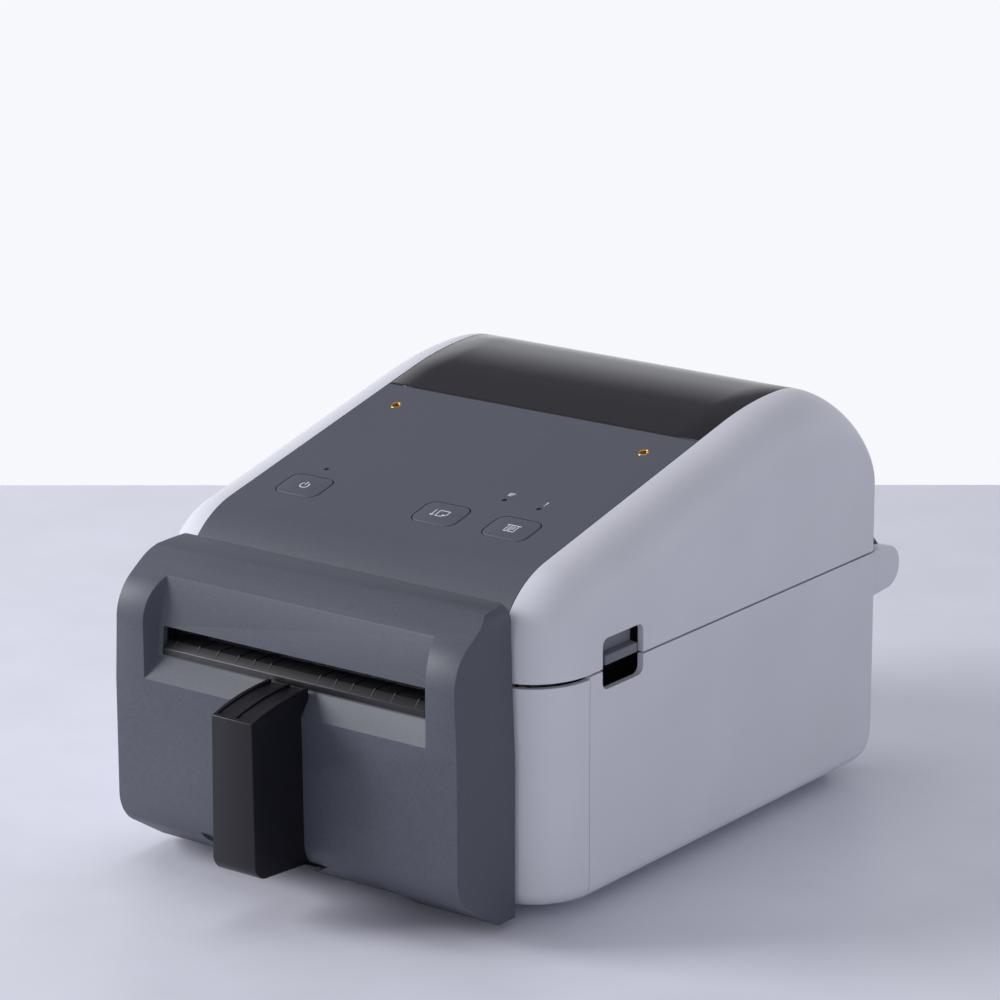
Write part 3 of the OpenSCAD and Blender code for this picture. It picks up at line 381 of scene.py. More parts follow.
def grain_group():
    """Fine moulded grain: a speckled colour, a roughness that varies and a height."""
    group = bpy.data.node_groups.get("Moulded grain")
    if group:
        return group
    group = bpy.data.node_groups.new("Moulded grain", "ShaderNodeTree")
    face = group.interface
    face.new_socket("Vector", in_out="INPUT", socket_type="NodeSocketVector")
    colour = face.new_socket("Colour", in_out="INPUT", socket_type="NodeSocketColor")
    colour.default_value = (0.5, 0.5, 0.5, 1)
    for name, value in (("Scale", 1600), ("Speckle", 0.1), ("Roughness", 0.5), ("Depth", 1)):
        face.new_socket(name, in_out="INPUT", socket_type="NodeSocketFloat").default_value = value
    face.new_socket("Colour", in_out="OUTPUT", socket_type="NodeSocketColor")
    face.new_socket("Roughness", in_out="OUTPUT", socket_type="NodeSocketFloat")
    face.new_socket("Height", in_out="OUTPUT", socket_type="NodeSocketFloat")
    nodes, links = group.nodes, group.links
    start = nodes.new("NodeGroupInput")
    end = nodes.new("NodeGroupOutput")
    fine = nodes.new("ShaderNodeTexNoise")
    fine.inputs["Detail"].default_value = 3
    links.new(start.outputs["Vector"], fine.inputs["Vector"])
    links.new(start.outputs["Scale"], fine.inputs["Scale"])
    cloud = nodes.new("ShaderNodeTexNoise")
    cloud.inputs["Scale"].default_value = 24
    cloud.inputs["Detail"].default_value = 3
    links.new(start.outputs["Vector"], cloud.inputs["Vector"])
    # speckle lightens and darkens the colour a little
    centred = nodes.new("ShaderNodeMath")
    centred.operation = "SUBTRACT"
    links.new(fine.outputs["Fac"], centred.inputs[0])
    centred.inputs[1].default_value = 0.5
    amount = nodes.new("ShaderNodeMath")
    amount.operation = "MULTIPLY_ADD"
    links.new(centred.outputs[0], amount.inputs[0])
    links.new(start.outputs["Speckle"], amount.inputs[1])
    amount.inputs[2].default_value = 1
    drift = nodes.new("ShaderNodeMapRange")
    drift.inputs["From Min"].default_value = 0.3
    drift.inputs["From Max"].default_value = 0.7
    drift.inputs["To Min"].default_value = 0.975
    drift.inputs["To Max"].default_value = 1.025
    links.new(cloud.outputs["Fac"], drift.inputs["Value"])
    both = nodes.new("ShaderNodeMath")
    both.operation = "MULTIPLY"
    links.new(amount.outputs[0], both.inputs[0])
    links.new(drift.outputs["Result"], both.inputs[1])
    tint = nodes.new("ShaderNodeVectorMath")
    tint.operation = "SCALE"
    links.new(start.outputs["Colour"], tint.inputs[0])
    links.new(both.outputs[0], tint.inputs["Scale"])
    links.new(tint.outputs["Vector"], end.inputs["Colour"])
    rough = nodes.new("ShaderNodeMath")
    rough.operation = "MULTIPLY"
    links.new(start.outputs["Roughness"], rough.inputs[0])
    links.new(drift.outputs["Result"], rough.inputs[1])
    links.new(rough.outputs[0], end.inputs["Roughness"])
    height = nodes.new("ShaderNodeMath")
    height.operation = "MULTIPLY"
    links.new(fine.outputs["Fac"], height.inputs[0])
    links.new(start.outputs["Depth"], height.inputs[1])
    links.new(height.outputs[0], end.inputs["Height"])
    return group


def grained(name, colour, roughness, scale=1600, speckle=0.1, bump=0.15, depth=0.02, metallic=0.0,
            stretch=(1, 1, 1), specular=0.5, alpha=1.0):
    """A material with the shared grain and its own values."""
    found = bpy.data.materials.get(name)
    if found:
        return found
    mat = bpy.data.materials.new(name)
    mat.use_nodes = True
    nodes, links = mat.node_tree.nodes, mat.node_tree.links
    shader = nodes["Principled BSDF"]
    coords = nodes.new("ShaderNodeTexCoord")
    mapping = nodes.new("ShaderNodeMapping")
    mapping.inputs["Scale"].default_value = stretch
    links.new(coords.outputs["Object"], mapping.inputs["Vector"])
    grain = nodes.new("ShaderNodeGroup")
    grain.node_tree = grain_group()
    links.new(mapping.outputs["Vector"], grain.inputs["Vector"])
    grain.inputs["Colour"].default_value = (*colour, 1)
    grain.inputs["Scale"].default_value = scale
    grain.inputs["Speckle"].default_value = speckle
    grain.inputs["Roughness"].default_value = roughness
    links.new(grain.outputs["Colour"], shader.inputs["Base Color"])
    links.new(grain.outputs["Roughness"], shader.inputs["Roughness"])
    relief = nodes.new("ShaderNodeBump")
    relief.inputs["Strength"].default_value = bump
    relief.inputs["Distance"].default_value = depth * MM
    links.new(grain.outputs["Height"], relief.inputs["Height"])
    links.new(relief.outputs["Normal"], shader.inputs["Normal"])
    shader.inputs["Metallic"].default_value = metallic
    shader.inputs["Specular IOR Level"].default_value = specular
    shader.inputs["Alpha"].default_value = alpha
    return mat


def case_plastic():
    return grained("Pale case plastic", colours().case, 0.46, speckle=0.07, bump=0.35)


def panel_plastic():
    return grained("Dark panel plastic", colours().panel, 0.5, scale=1300, speckle=0.42, bump=0.5,
                   depth=0.03)


def cutter_plastic():
    return grained("Dark cutter plastic", colours().panel, 0.52, scale=1200,
                   speckle=0.5, bump=0.6, depth=0.03)


def black_plastic():
    return grained("Black plastic", (0.012, 0.012, 0.014), 0.42, speckle=0.3, bump=0.3)


def post_plastic():
    return grained("Glossy black plastic", colours().post, 0.36, speckle=0.15, bump=0.15,
                   specular=0.3)


def ink():
    return grained("Pale ink", colours().ink, 0.5, scale=3000, speckle=0.12, bump=0.1)


def smoked_plastic():
    return grained("Smoked window", (0.012, 0.0115, 0.016), 0.07, scale=60, speckle=0.05, bump=0.02,
                   alpha=0.88, specular=0.6)


def brass():
    return grained("Brass", (0.62, 0.40, 0.12), 0.25, scale=900, speckle=0.2, bump=0.2, metallic=1.0)


def brushed_steel():
    return grained("Brushed steel", (0.56, 0.57, 0.59), 0.34, scale=500, speckle=0.18, bump=0.3,
                   metallic=1.0, stretch=(0.08, 1, 1))


def cast_aluminium():
    return grained("Satin aluminium", (0.66, 0.67, 0.69), 0.4, scale=700, speckle=0.12, bump=0.3,
                   metallic=1.0)


def gear_plastic():
    return grained("Natural gear plastic", (0.72, 0.71, 0.66), 0.4, speckle=0.06, bump=0.2)


def circuit_board():
    return grained("Lacquered board", (0.02, 0.12, 0.05), 0.3, scale=300, speckle=0.5, bump=0.3)


def foot_rubber():
    return grained("Pale rubber", (0.40, 0.41, 0.45), 0.75, scale=1500, speckle=0.2, bump=0.5)


def platen_rubber():
    return grained("Black rubber", (0.018, 0.018, 0.02), 0.7, scale=1500, speckle=0.3, bump=0.5)


def lens_plastic():
    return grained("Unlit lamp", (0.035, 0.035, 0.045), 0.2, speckle=0.1, bump=0.05)


# ---------- cover ----------

# front edge of the window and its lowest point at the rear
WINDOW_D, WINDOW_LOW = 94.3, BODY_H - 23


def cover_sheet(low):
    """Rounded cover as one sheet, open below."""
    rows = []
    half = BODY_W / 2
    angles = [-90 + 90 * i / 18 for i in range(19)]
    rings = [(-1, a) for a in angles] + [(1, -a) for a in reversed(angles)]
    for side, a in rings:
        c = 1 - math.cos(math.radians(a))
        x = side * (half - CORNER_X) + CORNER_X * math.sin(math.radians(a))
        line = roof(SHOULDER * c, CORNER_FRONT * c, CORNER_REAR * c, low)
        rows.append([place(x, d, z) for d, z in line])
    obj = surface("cover_sheet", rows)
    # a flat face closes each side
    for side in (-1, 1):
        pick(obj)
        bpy.ops.object.mode_set(mode="EDIT")
        bpy.ops.mesh.select_mode(type="VERT")
        bpy.ops.mesh.select_all(action="DESELECT")
        bm = bmesh.from_edit_mesh(obj.data)
        for v in bm.verts:
            if abs(v.co.x - side * half * MM) < 1e-6:
                v.select_set(True)
        bmesh.update_edit_mesh(obj.data)
        bpy.ops.mesh.edge_face_add()
        bpy.ops.object.mode_set(mode="OBJECT")
    tidy_mesh(obj)
    return obj


def latch_holes():
    """Solids that cut the latch's windows through both sides."""
    outline = rounded(BODY_D - 43.7, SEAM_Z + 1.85, 24.6, 18.7, 3, 8)
    right = slab_x("cut", outline, BODY_W / 2 - 8, BODY_W / 2 + 3)
    return [right, twin("cut", right)]


class LABELPRINTER_OT_cover(bpy.types.Operator):
    """Build the pale rounded cover."""

    bl_idname = "label_printer.cover"
    bl_label = "Cover"

    def execute(self, context):
        s = sizes()
        seam = s.seam / MM
        cover = thicken(cover_sheet(SEAM_Z + seam), s.wall)
        half = s.panel_half / MM
        window_top = slab_x("cut", box_outline(-1, WINDOW_D + 1, WINDOW_LOW - FIT_GAP, BODY_H + 5),
                            -half, half)
        panel_front = slab_x("cut", box_outline(WINDOW_D, BODY_D + 5, 60, BODY_H + 5), -half, half)
        arms = [slab_x("cut", box_outline(-1, 4, 60, SEAM_Z + 11), 75, 85)]
        arms.append(twin("cut", arms[0]))
        combine(cover, window_top, panel_front, *latch_holes(), *arms)
        smooth(cover, 30)
        cover.name = "cover_skin"
        finish_piece(cover, "cover", "pale_plastic", case_plastic(), "cover_shell")
        return {"FINISHED"}


def strip_sheet(name, half, keep):
    """Part of the roof outline as a sheet across, for the panel and the window."""
    line = [p for p in roof(0, 0, 0, SEAM_Z + sizes().seam / MM) if keep(*p)]
    columns = [-half + 2 * half * i / 12 for i in range(13)]
    obj = surface(name, [[place(x, d, z) for d, z in line] for x in columns])
    tidy_mesh(obj)
    return obj


def outward(obj):
    """Turns an open sheet so that its faces point up and forward."""
    up = sum((p.normal.z - p.normal.y) * p.area for p in obj.data.polygons)
    if up < 0:
        edit_all(obj)
        bpy.ops.mesh.flip_normals()
        bpy.ops.object.mode_set(mode="OBJECT")
    return obj


def on_panel(x, d, u, v, w):
    """A point u to the right, v up the slope and w above the panel at x, d."""
    slope = sizes().slope
    return place(x + u, d - v * math.cos(slope) + w * math.sin(slope),
                 panel_z(d) + v * math.sin(slope) + w * math.cos(slope))


def panel_solid(name, outline, x, d, w0, w1):
    """A flat outline in u, v raised from w0 to w1 above the panel."""
    rise = on_panel(x, d, 0, 0, w1) - on_panel(x, d, 0, 0, w0)
    return raised(name, [on_panel(x, d, u, v, w0) for u, v in outline], rise)


BUTTONS = (("power_button", -48.6), ("feed_button", 13.7), ("print_button", 44.8))
BUTTON_D = BODY_D - 39.7
LAMPS = ((-48.9, BODY_D - 52.9), (29.5, BODY_D - 56.3), (45.4, BODY_D - 55.1))
INSERT_X, INSERT_D = 56.4, 108
BUTTON_W, BUTTON_L = 19, 14.5


class LABELPRINTER_OT_panel(bpy.types.Operator):
    """Build the control panel with its openings."""

    bl_idname = "label_printer.panel"
    bl_label = "Control panel"

    def execute(self, context):
        s = sizes()
        half = s.panel_half / MM - FIT_GAP
        sheet = strip_sheet("panel_sheet", half, lambda d, z: d > 60)
        panel = thicken(outward(sheet), s.wall)
        rear_end = slab_x("cut", box_outline(50, WINDOW_D + 0.2, 100, BODY_H + 5), -half - 1, half + 1)
        holes = [rear_end]
        for _, x in BUTTONS:
            outline = rounded(0, 0, BUTTON_W + 0.7, BUTTON_L + 0.7, 4.1)
            holes.append(panel_solid("cut", outline, x, BUTTON_D, -5, 3))
        for x, d in LAMPS:
            holes.append(panel_solid("cut", arc(0, 0, 1, 1, 0, 345, 23), x, d, -5, 3))
        for x in (-INSERT_X, INSERT_X):
            holes.append(panel_solid("cut", arc(0, 0, 2.45, 2.45, 0, 352.5, 47), x, INSERT_D, -5, 3))
        combine(panel, *holes)
        bosses = []
        for x in (-INSERT_X, INSERT_X):
            boss = panel_solid("boss", arc(0, 0, 4.2, 4.2, 0, 352.5, 47), x, INSERT_D, -6.5, -2.2)
            combine(boss, panel_solid("cut", arc(0, 0, 2.45, 2.45, 0, 352.5, 47), x, INSERT_D, -5.7, 0))
            bosses.append(boss)
        panel = join("panel_skin", panel, *bosses)
        smooth(panel, 30)
        finish_piece(panel, "cover", "dark_plastic", panel_plastic(), "control_panel")
        return {"FINISHED"}


class LABELPRINTER_OT_window(bpy.types.Operator):
    """Build the smoked window."""

    bl_idname = "label_printer.window"
    bl_label = "Window"

    def execute(self, context):
        half = sizes().panel_half / MM - FIT_GAP
        sheet = strip_sheet("window_sheet", half, lambda d, z: z > 120 and d < 130)
        window = thicken(outward(sheet), 2.2 * MM)
        front = slab_x("cut", box_outline(WINDOW_D - FIT_GAP, 140, 100, BODY_H + 5), -half - 1, half + 1)
        rear = slab_x("cut", box_outline(-5, 30, 100, WINDOW_LOW), -half - 1, half + 1)
        combine(window, front, rear)
        soften(window, 0.35 * MM, 2, 50)
        smooth(window, 30)
        window.name = "window_skin"
        finish_piece(window, "cover", "smoked_window", smoked_plastic(), "window")
        return {"FINISHED"}


# ---------- buttons and signs ----------


def stroke(u0, v0, u1, v1, w):
    """Outline of a straight stroke of width w."""
    dx, dy = u1 - u0, v1 - v0
    n = math.hypot(dx, dy)
    px, py = -dy / n * w / 2, dx / n * w / 2
    return [(u0 + px, v0 + py), (u0 - px, v0 - py), (u1 - px, v1 - py), (u1 + px, v1 + py)]


def power_sign():
    """An open ring with a stroke through its gap."""
    ring = arc(0, 0, 2.0, 2.0, 125, 415, 28) + arc(0, 0, 1.5, 1.5, 415, 125, 28)
    return [ring, box_outline(-0.25, 0.25, 0.3, 2.5)]


def feed_sign():
    """An arrow down beside a sheet with a folded corner."""
    arrow = [stroke(-3.2, 2.1, -3.2, -2.0, 0.42), stroke(-3.2, -2.2, -3.9, -1.2, 0.42),
             stroke(-3.2, -2.2, -2.5, -1.2, 0.42)]
    sheet = [stroke(-1.4, 2.0, -1.4, -1.9, 0.42), stroke(-1.6, 2.0, 3.0, 2.0, 0.42),
             stroke(2.8, 2.0, 2.8, -0.6, 0.42), stroke(-1.6, -1.9, 1.4, -1.9, 0.42),
             [(1.0, -2.1), (3.0, -0.5), (1.0, -0.5)]]
    return arrow + sheet


def print_sign():
    """A printed sheet below a bar."""
    frame_lines = [box_outline(-3.0, 3.0, 1.75, 2.25), stroke(-2.1, 1.8, -2.1, -2.3, 0.42),
                   stroke(2.1, 1.8, 2.1, -2.3, 0.42), stroke(-2.3, -2.2, 2.3, -2.2, 0.42)]
    text = [box_outline(-1.3, 1.3, v, v + 0.34) for v in (0.8, 0.0, -0.8)]
    return frame_lines + text + [box_outline(-1.3, 0.3, -1.6, -1.26)]


def status_sign():
    """Three short lines, one above the other, as on a full roll."""
    return [stroke(-1.1, 1.3, 1.2, 1.3, 0.4), stroke(-1.1, 0.5, 0.8, 0.5, 0.4),
            stroke(-1.1, -0.3, 0.3, -0.3, 0.4), stroke(-1.1, 1.5, -1.1, -0.5, 0.4)]


def alert_sign():
    """A tapered stroke over a dot."""
    return [[(-0.3, 1.7), (0.3, 1.7), (0.2, -0.2), (-0.2, -0.2)], box_outline(-0.25, 0.25, -1.2, -0.7)]


def sign(name, outlines, x, d, w, body):
    """Printed sign: thin raised shapes on the panel's slope."""
    parts = [panel_solid("mark", line, x, d, w, w + 0.05) for line in outlines]
    obj = join(name, *parts)
    return finish_piece(obj, body, "dark_plastic", ink())


class LABELPRINTER_OT_buttons(bpy.types.Operator):
    """Build the three buttons with their signs."""

    bl_idname = "label_printer.buttons"
    bl_label = "Buttons"

    def execute(self, context):
        signs = {"power_button": power_sign(), "feed_button": feed_sign(),
                 "print_button": print_sign()}
        cap = panel_solid("cap", rounded(0, 0, BUTTON_W, BUTTON_L, 3.8), 0, BUTTON_D, -3.9, 0.15)
        soften(cap, 0.45 * MM, 4, 50)
        flange = panel_solid("flange", rounded(0, 0, BUTTON_W + 2.4, BUTTON_L + 2.4, 4.5),
                             0, BUTTON_D, -5, -3.9)
        model = smooth(join("button", cap, flange), 35)
        for node, x in BUTTONS:
            button = copied(node + "_cap", model, Vector((x * MM, 0, 0)))
            finish_piece(button, node, "dark_plastic", panel_plastic(), node)
            sign(node + "_sign", signs[node], x, BUTTON_D, 0.16, node)
        bpy.data.objects.remove(model)
        return {"FINISHED"}


class LABELPRINTER_OT_panel_fittings(bpy.types.Operator):
    """Build the lamps, their signs and the threaded inserts."""

    bl_idname = "label_printer.panel_fittings"
    bl_label = "Lamps and inserts"

    def execute(self, context):
        lamps = []
        for x, d in LAMPS:
            lens = panel_solid("lens", arc(0, 0, 0.9, 0.9, 0, 345, 23), x, d, -9.8, -0.35)
            soften(lens, 0.2 * MM, 2, 50)
            lamps.append(lens)
        lamps = smooth(join("lamp_lenses", *lamps))
        finish_piece(lamps, "cover", "gear_plastic", lens_plastic(), "led_lenses")
        sign("roll_lamp_sign", status_sign(), LAMPS[1][0] + 0.2, LAMPS[1][1] - 3.6, 0.01, "cover")
        sign("alert_lamp_sign", alert_sign(), LAMPS[2][0] + 0.6, LAMPS[2][1] - 3.4, 0.01, "cover")
        ring = panel_solid("ring", arc(0, 0, 2.38, 2.38, 0, 352.5, 47), 0, INSERT_D, -5.7, 0.05)
        combine(ring, panel_solid("cut", arc(0, 0, 1.45, 1.45, 0, 352.5, 47), 0, INSERT_D, -7, 2))
        soften(ring, 0.3 * MM, 3, 50)
        turns = []
        for i in range(9):
            w = -5.3 + 0.55 * i
            turn = panel_solid("turn", arc(0, 0, 1.5, 1.5, 0, 345, 23), 0, INSERT_D, w, w + 0.25)
            combine(turn, panel_solid("cut", arc(0, 0, 1.25, 1.25, 0, 345, 23), 0, INSERT_D,
                                      w - 1, w + 1))
            turns.append(turn)
        model = smooth(join("insert", ring, *turns))
        for node, x in (("insert_left", -INSERT_X), ("insert_right", INSERT_X)):
            insert = copied(node + "_ring", model, Vector((x * MM, 0, 0)))
            finish_piece(insert, "cover", "brass", brass(), node)
        bpy.data.objects.remove(model)
        return {"FINISHED"}


# ---------- case ----------

# hinge axis, radius of its lugs, and each rear socket's place, width and height
HINGE_D, HINGE_Z, LUG_R = -8, 78, 8.3
SOCKETS = ((-56, 14, 11), (-30, 12, 11), (-6, 14, 7), (20, 16, 13.5))


def case_sheet(name, top):
    """Case as one sheet: plan rings from the bottom edge up, open on top."""
    rows = []
    low = CASE_Z
    rear_r, front_r, edge_r = 14, 8, 6
    heights = [low + rear_r * (1 - math.cos(math.radians(90 * i / 20))) for i in range(21)]
    for z in heights + [low + rear_r + (top - low - rear_r) * i / 3 for i in range(1, 4)]:
        rear, front, side = (
            r - math.sqrt(max(0, r ** 2 - max(0, low + r - z) ** 2)) for r in (rear_r, front_r, edge_r))
        x1, d0, d1 = BODY_W / 2 - side, rear, BODY_D - front
        right = (arc(x1 - CORNER_REAR, d0 + CORNER_REAR, CORNER_REAR, CORNER_REAR, -90, 0, 6)
                 + [(x1, d0 + (d1 - d0) * i / 8) for i in range(1, 7)]
                 + arc(x1 - CORNER_X, d1 - CORNER_FRONT, CORNER_X, CORNER_FRONT, 0, 90, 14))
        ring = right + [(-x, d) for x, d in reversed(right)]
        rows.append([place(x, d, z) for x, d in ring + ring[:1]])
    obj = surface(name, rows)
    edit_all(obj)
    bpy.ops.mesh.remove_doubles(threshold=1e-6)
    bpy.ops.object.mode_set(mode="OBJECT")
    fill_lowest(obj)
    tidy_mesh(obj)
    return obj


def fill_lowest(obj):
    """Closes the open edge at the bottom with one face."""
    pick(obj)
    bpy.ops.object.mode_set(mode="EDIT")
    bpy.ops.mesh.select_mode(type="VERT")
    bpy.ops.mesh.select_all(action="DESELECT")
    bm = bmesh.from_edit_mesh(obj.data)
    low = min(v.co.z for v in bm.verts)
    for v in bm.verts:
        if v.co.z < low + 1e-6:
            v.select_set(True)
    bmesh.update_edit_mesh(obj.data)
    bpy.ops.mesh.edge_face_add()
    bpy.ops.object.mode_set(mode="OBJECT")


def cut_plane(obj, d, keep_front):
    """Cuts a sheet across at distance d and keeps one end."""
    edit_all(obj)
    bpy.ops.mesh.bisect(plane_co=place(0, d, 0), plane_no=(0, 1, 0),
                        clear_outer=keep_front, clear_inner=not keep_front)
    bpy.ops.object.mode_set(mode="OBJECT")
    return obj


class LABELPRINTER_OT_case(bpy.types.Operator):
    """Build the lower case with its rear lugs and sockets."""

    bl_idname = "label_printer.case"
    bl_label = "Lower case"

    def execute(self, context):
        s = sizes()
        seam_d = BODY_D - 24
        case = cut_plane(case_sheet("case_sheet", SEAM_Z - s.seam / MM), seam_d - 0.12, False)
        thicken(case, s.wall)
        cuts = latch_holes()
        for x, w, h in SOCKETS:
            outline = box_outline(x - w / 2 - 0.4, x + w / 2 + 0.4, 18.6, 19.4 + h)
            cuts.append(slab_d("cut", outline, -2, 5))
        combine(case, *cuts)
        lug = slab_x("lug", [(2.4, 69)] + arc(HINGE_D, HINGE_Z, LUG_R, LUG_R, 262, 98, 24)
                     + [(-1.2, 87.4), (0, 86.6), (2.4, 86.6)], 84, 89.6)
        combine(lug, slab_x("cut", arc(HINGE_D, HINGE_Z, 2.6, 2.6, 0, 345, 23), 80, 87.8))
        soften(lug, 0.5 * MM, 3, 40)
        obj = join("case_skin", case, lug, twin("lug", lug))
        smooth(obj, 30)
        finish_piece(obj, "base", "pale_plastic", case_plastic(), "lower_case")
        return {"FINISHED"}


class LABELPRINTER_OT_bezel(bpy.types.Operator):
    """Build the front part of the case."""

    bl_idname = "label_printer.bezel"
    bl_label = "Front bezel"

    def execute(self, context):
        s = sizes()
        top = SEAM_Z - s.seam / MM - 1
        bezel = cut_plane(case_sheet("bezel_sheet", top), BODY_D - 23.8, True)
        thicken(bezel, s.wall)
        slot = slab_d("cut", box_outline(-60, 60, SEAM_Z - 6, SEAM_Z + 2), BODY_D - 8, BODY_D + 2)
        cable = slab_d("cut", box_outline(-14, 14, 30, 44), BODY_D - 8, BODY_D + 2)
        combine(bezel, slot, cable)
        bezel.name = "bezel_skin"
        smooth(bezel, 30)
        finish_piece(bezel, "base", "pale_plastic", case_plastic(), "front_bezel")
        return {"FINISHED"}


def hollow_sole(foot):
    """Sinks a shallow dish into the underside of a foot."""
    edit_all(foot)
    bpy.ops.mesh.select_mode(type="FACE")
    bpy.ops.mesh.select_all(action="DESELECT")
    bm = bmesh.from_edit_mesh(foot.data)
    for face in bm.faces:
        face.select_set(face.normal.z < -0.9)
    bmesh.update_edit_mesh(foot.data)
    bpy.ops.mesh.inset(thickness=2.2 * MM)
    bpy.ops.transform.translate(value=(0, 0, 0.8 * MM))
    bpy.ops.object.mode_set(mode="OBJECT")


class LABELPRINTER_OT_feet(bpy.types.Operator):
    """Build the four rubber feet."""

    bl_idname = "label_printer.feet"
    bl_label = "Feet"

    def execute(self, context):
        clear_selection()
        bpy.ops.mesh.primitive_cylinder_add(
            vertices=48, radius=7 * MM, depth=CASE_Z * MM, location=(0, 0, CASE_Z * MM / 2))
        model = bpy.context.object
        bpy.ops.object.transform_apply(location=True, rotation=True, scale=True)
        hollow_sole(model)
        soften(model, 0.5 * MM, 3, 50)
        smooth(model)
        for node in ("foot_front_left", "foot_front_right", "foot_rear_left", "foot_rear_right"):
            low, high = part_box(node)
            centre = (low + high) / 2
            foot = copied(node + "_pad", model, Vector((centre.x, centre.y, 0)))
            finish_piece(foot, "base", "rubber", foot_rubber(), node)
        bpy.data.objects.remove(model)
        return {"FINISHED"}


# ---------- cutter unit ----------


# chin under the front face, recess in it, label slot, and the shallow step under the chin
CUTTER_Z, CHIN_R, CHIN_H, CHIN_TURN = 3, 15, 26, 58
CUTTER_TOP, CUTTER_CORNER = 116.4, 6.0
CUTTER_HALF_REAR, CUTTER_HALF_FRONT = 76.8, 76.4
CUTTER_WALL = 2.2
RECESS_LOW, RECESS_TOP, RECESS_DEEP, RECESS_BACK_HALF = 71.4, 108.6, 9.7, 59.5
SLOT_HALF, SLOT_LOW, SLOT_TOP = 59, SEAM_Z - 7.2, SEAM_Z + 3.2
STEP_HALF, STEP_TOP, STEP_DEEP = 40.2, 17.5, 1.4
BRACKET_LOW, BRACKET_TOP, BRACKET_HALF = 15.6, 17.2, 15


def cutter_side(inset):
    """Side outline of the cutter unit; the rear stays open when pulled in."""
    rear = BODY_D + 1.5 - (3 if inset else 0)
    low = CUTTER_Z + inset
    chin = arc(CUTTER_FRONT - CHIN_R, CHIN_H, CHIN_R - inset, CHIN_R - inset, -CHIN_TURN, 0, 14)
    back = chin[0][0] - (chin[0][1] - low) * math.tan(math.radians(CHIN_TURN))
    return ([(rear, low), (back, low)] + chin
            + arc(CUTTER_FRONT - 18, 92, 18 - inset, 18 - inset, 0, 55, 14)
            + [(BODY_D + 14 - inset * 0.3, CUTTER_TOP - 1.3 - inset), (rear, CUTTER_TOP - inset)])


def cutter_front(inset):
    """Front outline of the cutter unit."""
    w, r = CUTTER_HALF_REAR - inset, CUTTER_CORNER
    right = ([(w, CUTTER_Z - 1), (w, SEAM_Z - 27), (w - 1.2, SEAM_Z + 1), (w - 1.7, SEAM_Z + 17)]
             + arc(CUTTER_HALF_REAR - 1.7 - r, CUTTER_TOP - r, r - inset, r - inset, 0, 90, 10))
    return right + [(-x, z) for x, z in reversed(right)]


def cutter_solid(inset):
    """Cutter unit as a solid, narrower towards the front."""
    side = slab_x("cutter", cutter_side(inset), -95, 95)
    front = slab_d("cut", cutter_front(inset), BODY_D - 4, CUTTER_FRONT + 2)
    ends = ((CUTTER_HALF_FRONT - inset, CUTTER_FRONT + 1), (CUTTER_HALF_REAR - inset, BODY_D - 3))
    outline = [(-x, d) for x, d in ends] + [(x, d) for x, d in reversed(ends)]
    plan = slab_z("cut", outline, -2, 130)
    return combine(side, front, plan, how="INTERSECT")


def recess_solid(grow):
    """Scoop in the front, with side walls that flare outwards."""
    line = [(CUTTER_FRONT + 5, RECESS_LOW - grow), (CUTTER_FRONT, RECESS_LOW - grow),
            (CUTTER_FRONT - 5.6 - grow, SEAM_Z - 7.8 - grow / 2), (CUTTER_FRONT - 6.6 - grow, SLOT_TOP),
            (CUTTER_FRONT - RECESS_DEEP - grow, RECESS_TOP), (CUTTER_FRONT + 5, RECESS_TOP)]
    obj = slab_x("recess", line, -1, 1)
    for v in obj.data.vertices:
        d = (REAR_Y - v.co.y) / MM
        half = RECESS_BACK_HALF + grow + 0.36 * (d - CUTTER_FRONT + RECESS_DEEP)
        v.co.x = math.copysign(half * MM, v.co.x)
    return obj


class LABELPRINTER_OT_cutter(bpy.types.Operator):
    """Build the cutter unit's cover with its recess and label slot."""

    bl_idname = "label_printer.cutter"
    bl_label = "Cutter cover"

    def execute(self, context):
        cover = cutter_solid(0)
        soften(cover, 0.9 * MM, 4, 32)
        inner = combine(cutter_solid(CUTTER_WALL), recess_solid(CUTTER_WALL))
        recess = recess_solid(0)
        slot = slab_d("cut", box_outline(-SLOT_HALF, SLOT_HALF, SLOT_LOW, SLOT_TOP), BODY_D - 3,
                      CUTTER_FRONT)
        step = combine(slab_x("step", box_outline(BODY_D + 8, CUTTER_FRONT + 2, 0, STEP_TOP),
                              -STEP_HALF, STEP_HALF),
                       slab_x("cut", cutter_side(STEP_DEEP), -95, 95))
        slot_half = BRACKET_HALF + FIT_GAP
        lug_slot = slab_z("cut", box_outline(-slot_half, slot_half, CUTTER_FRONT - 12, CUTTER_FRONT + 2),
                          BRACKET_LOW, BRACKET_TOP)
        combine(cover, inner, recess)
        front_y = (REAR_Y - (CUTTER_FRONT - 11) * MM) / MM
        soften_where(cover, 0.45 * MM, lambda p: p.y < front_y and abs(p.x) < 67.5 and p.z > 70, 3, 16)
        combine(cover, slot, step, lug_slot)
        smooth(cover, 25)
        cover.name = "cutter_skin"
        finish_piece(cover, "base", "dark_plastic", cutter_plastic(), "cutter_cover")
        return {"FINISHED"}


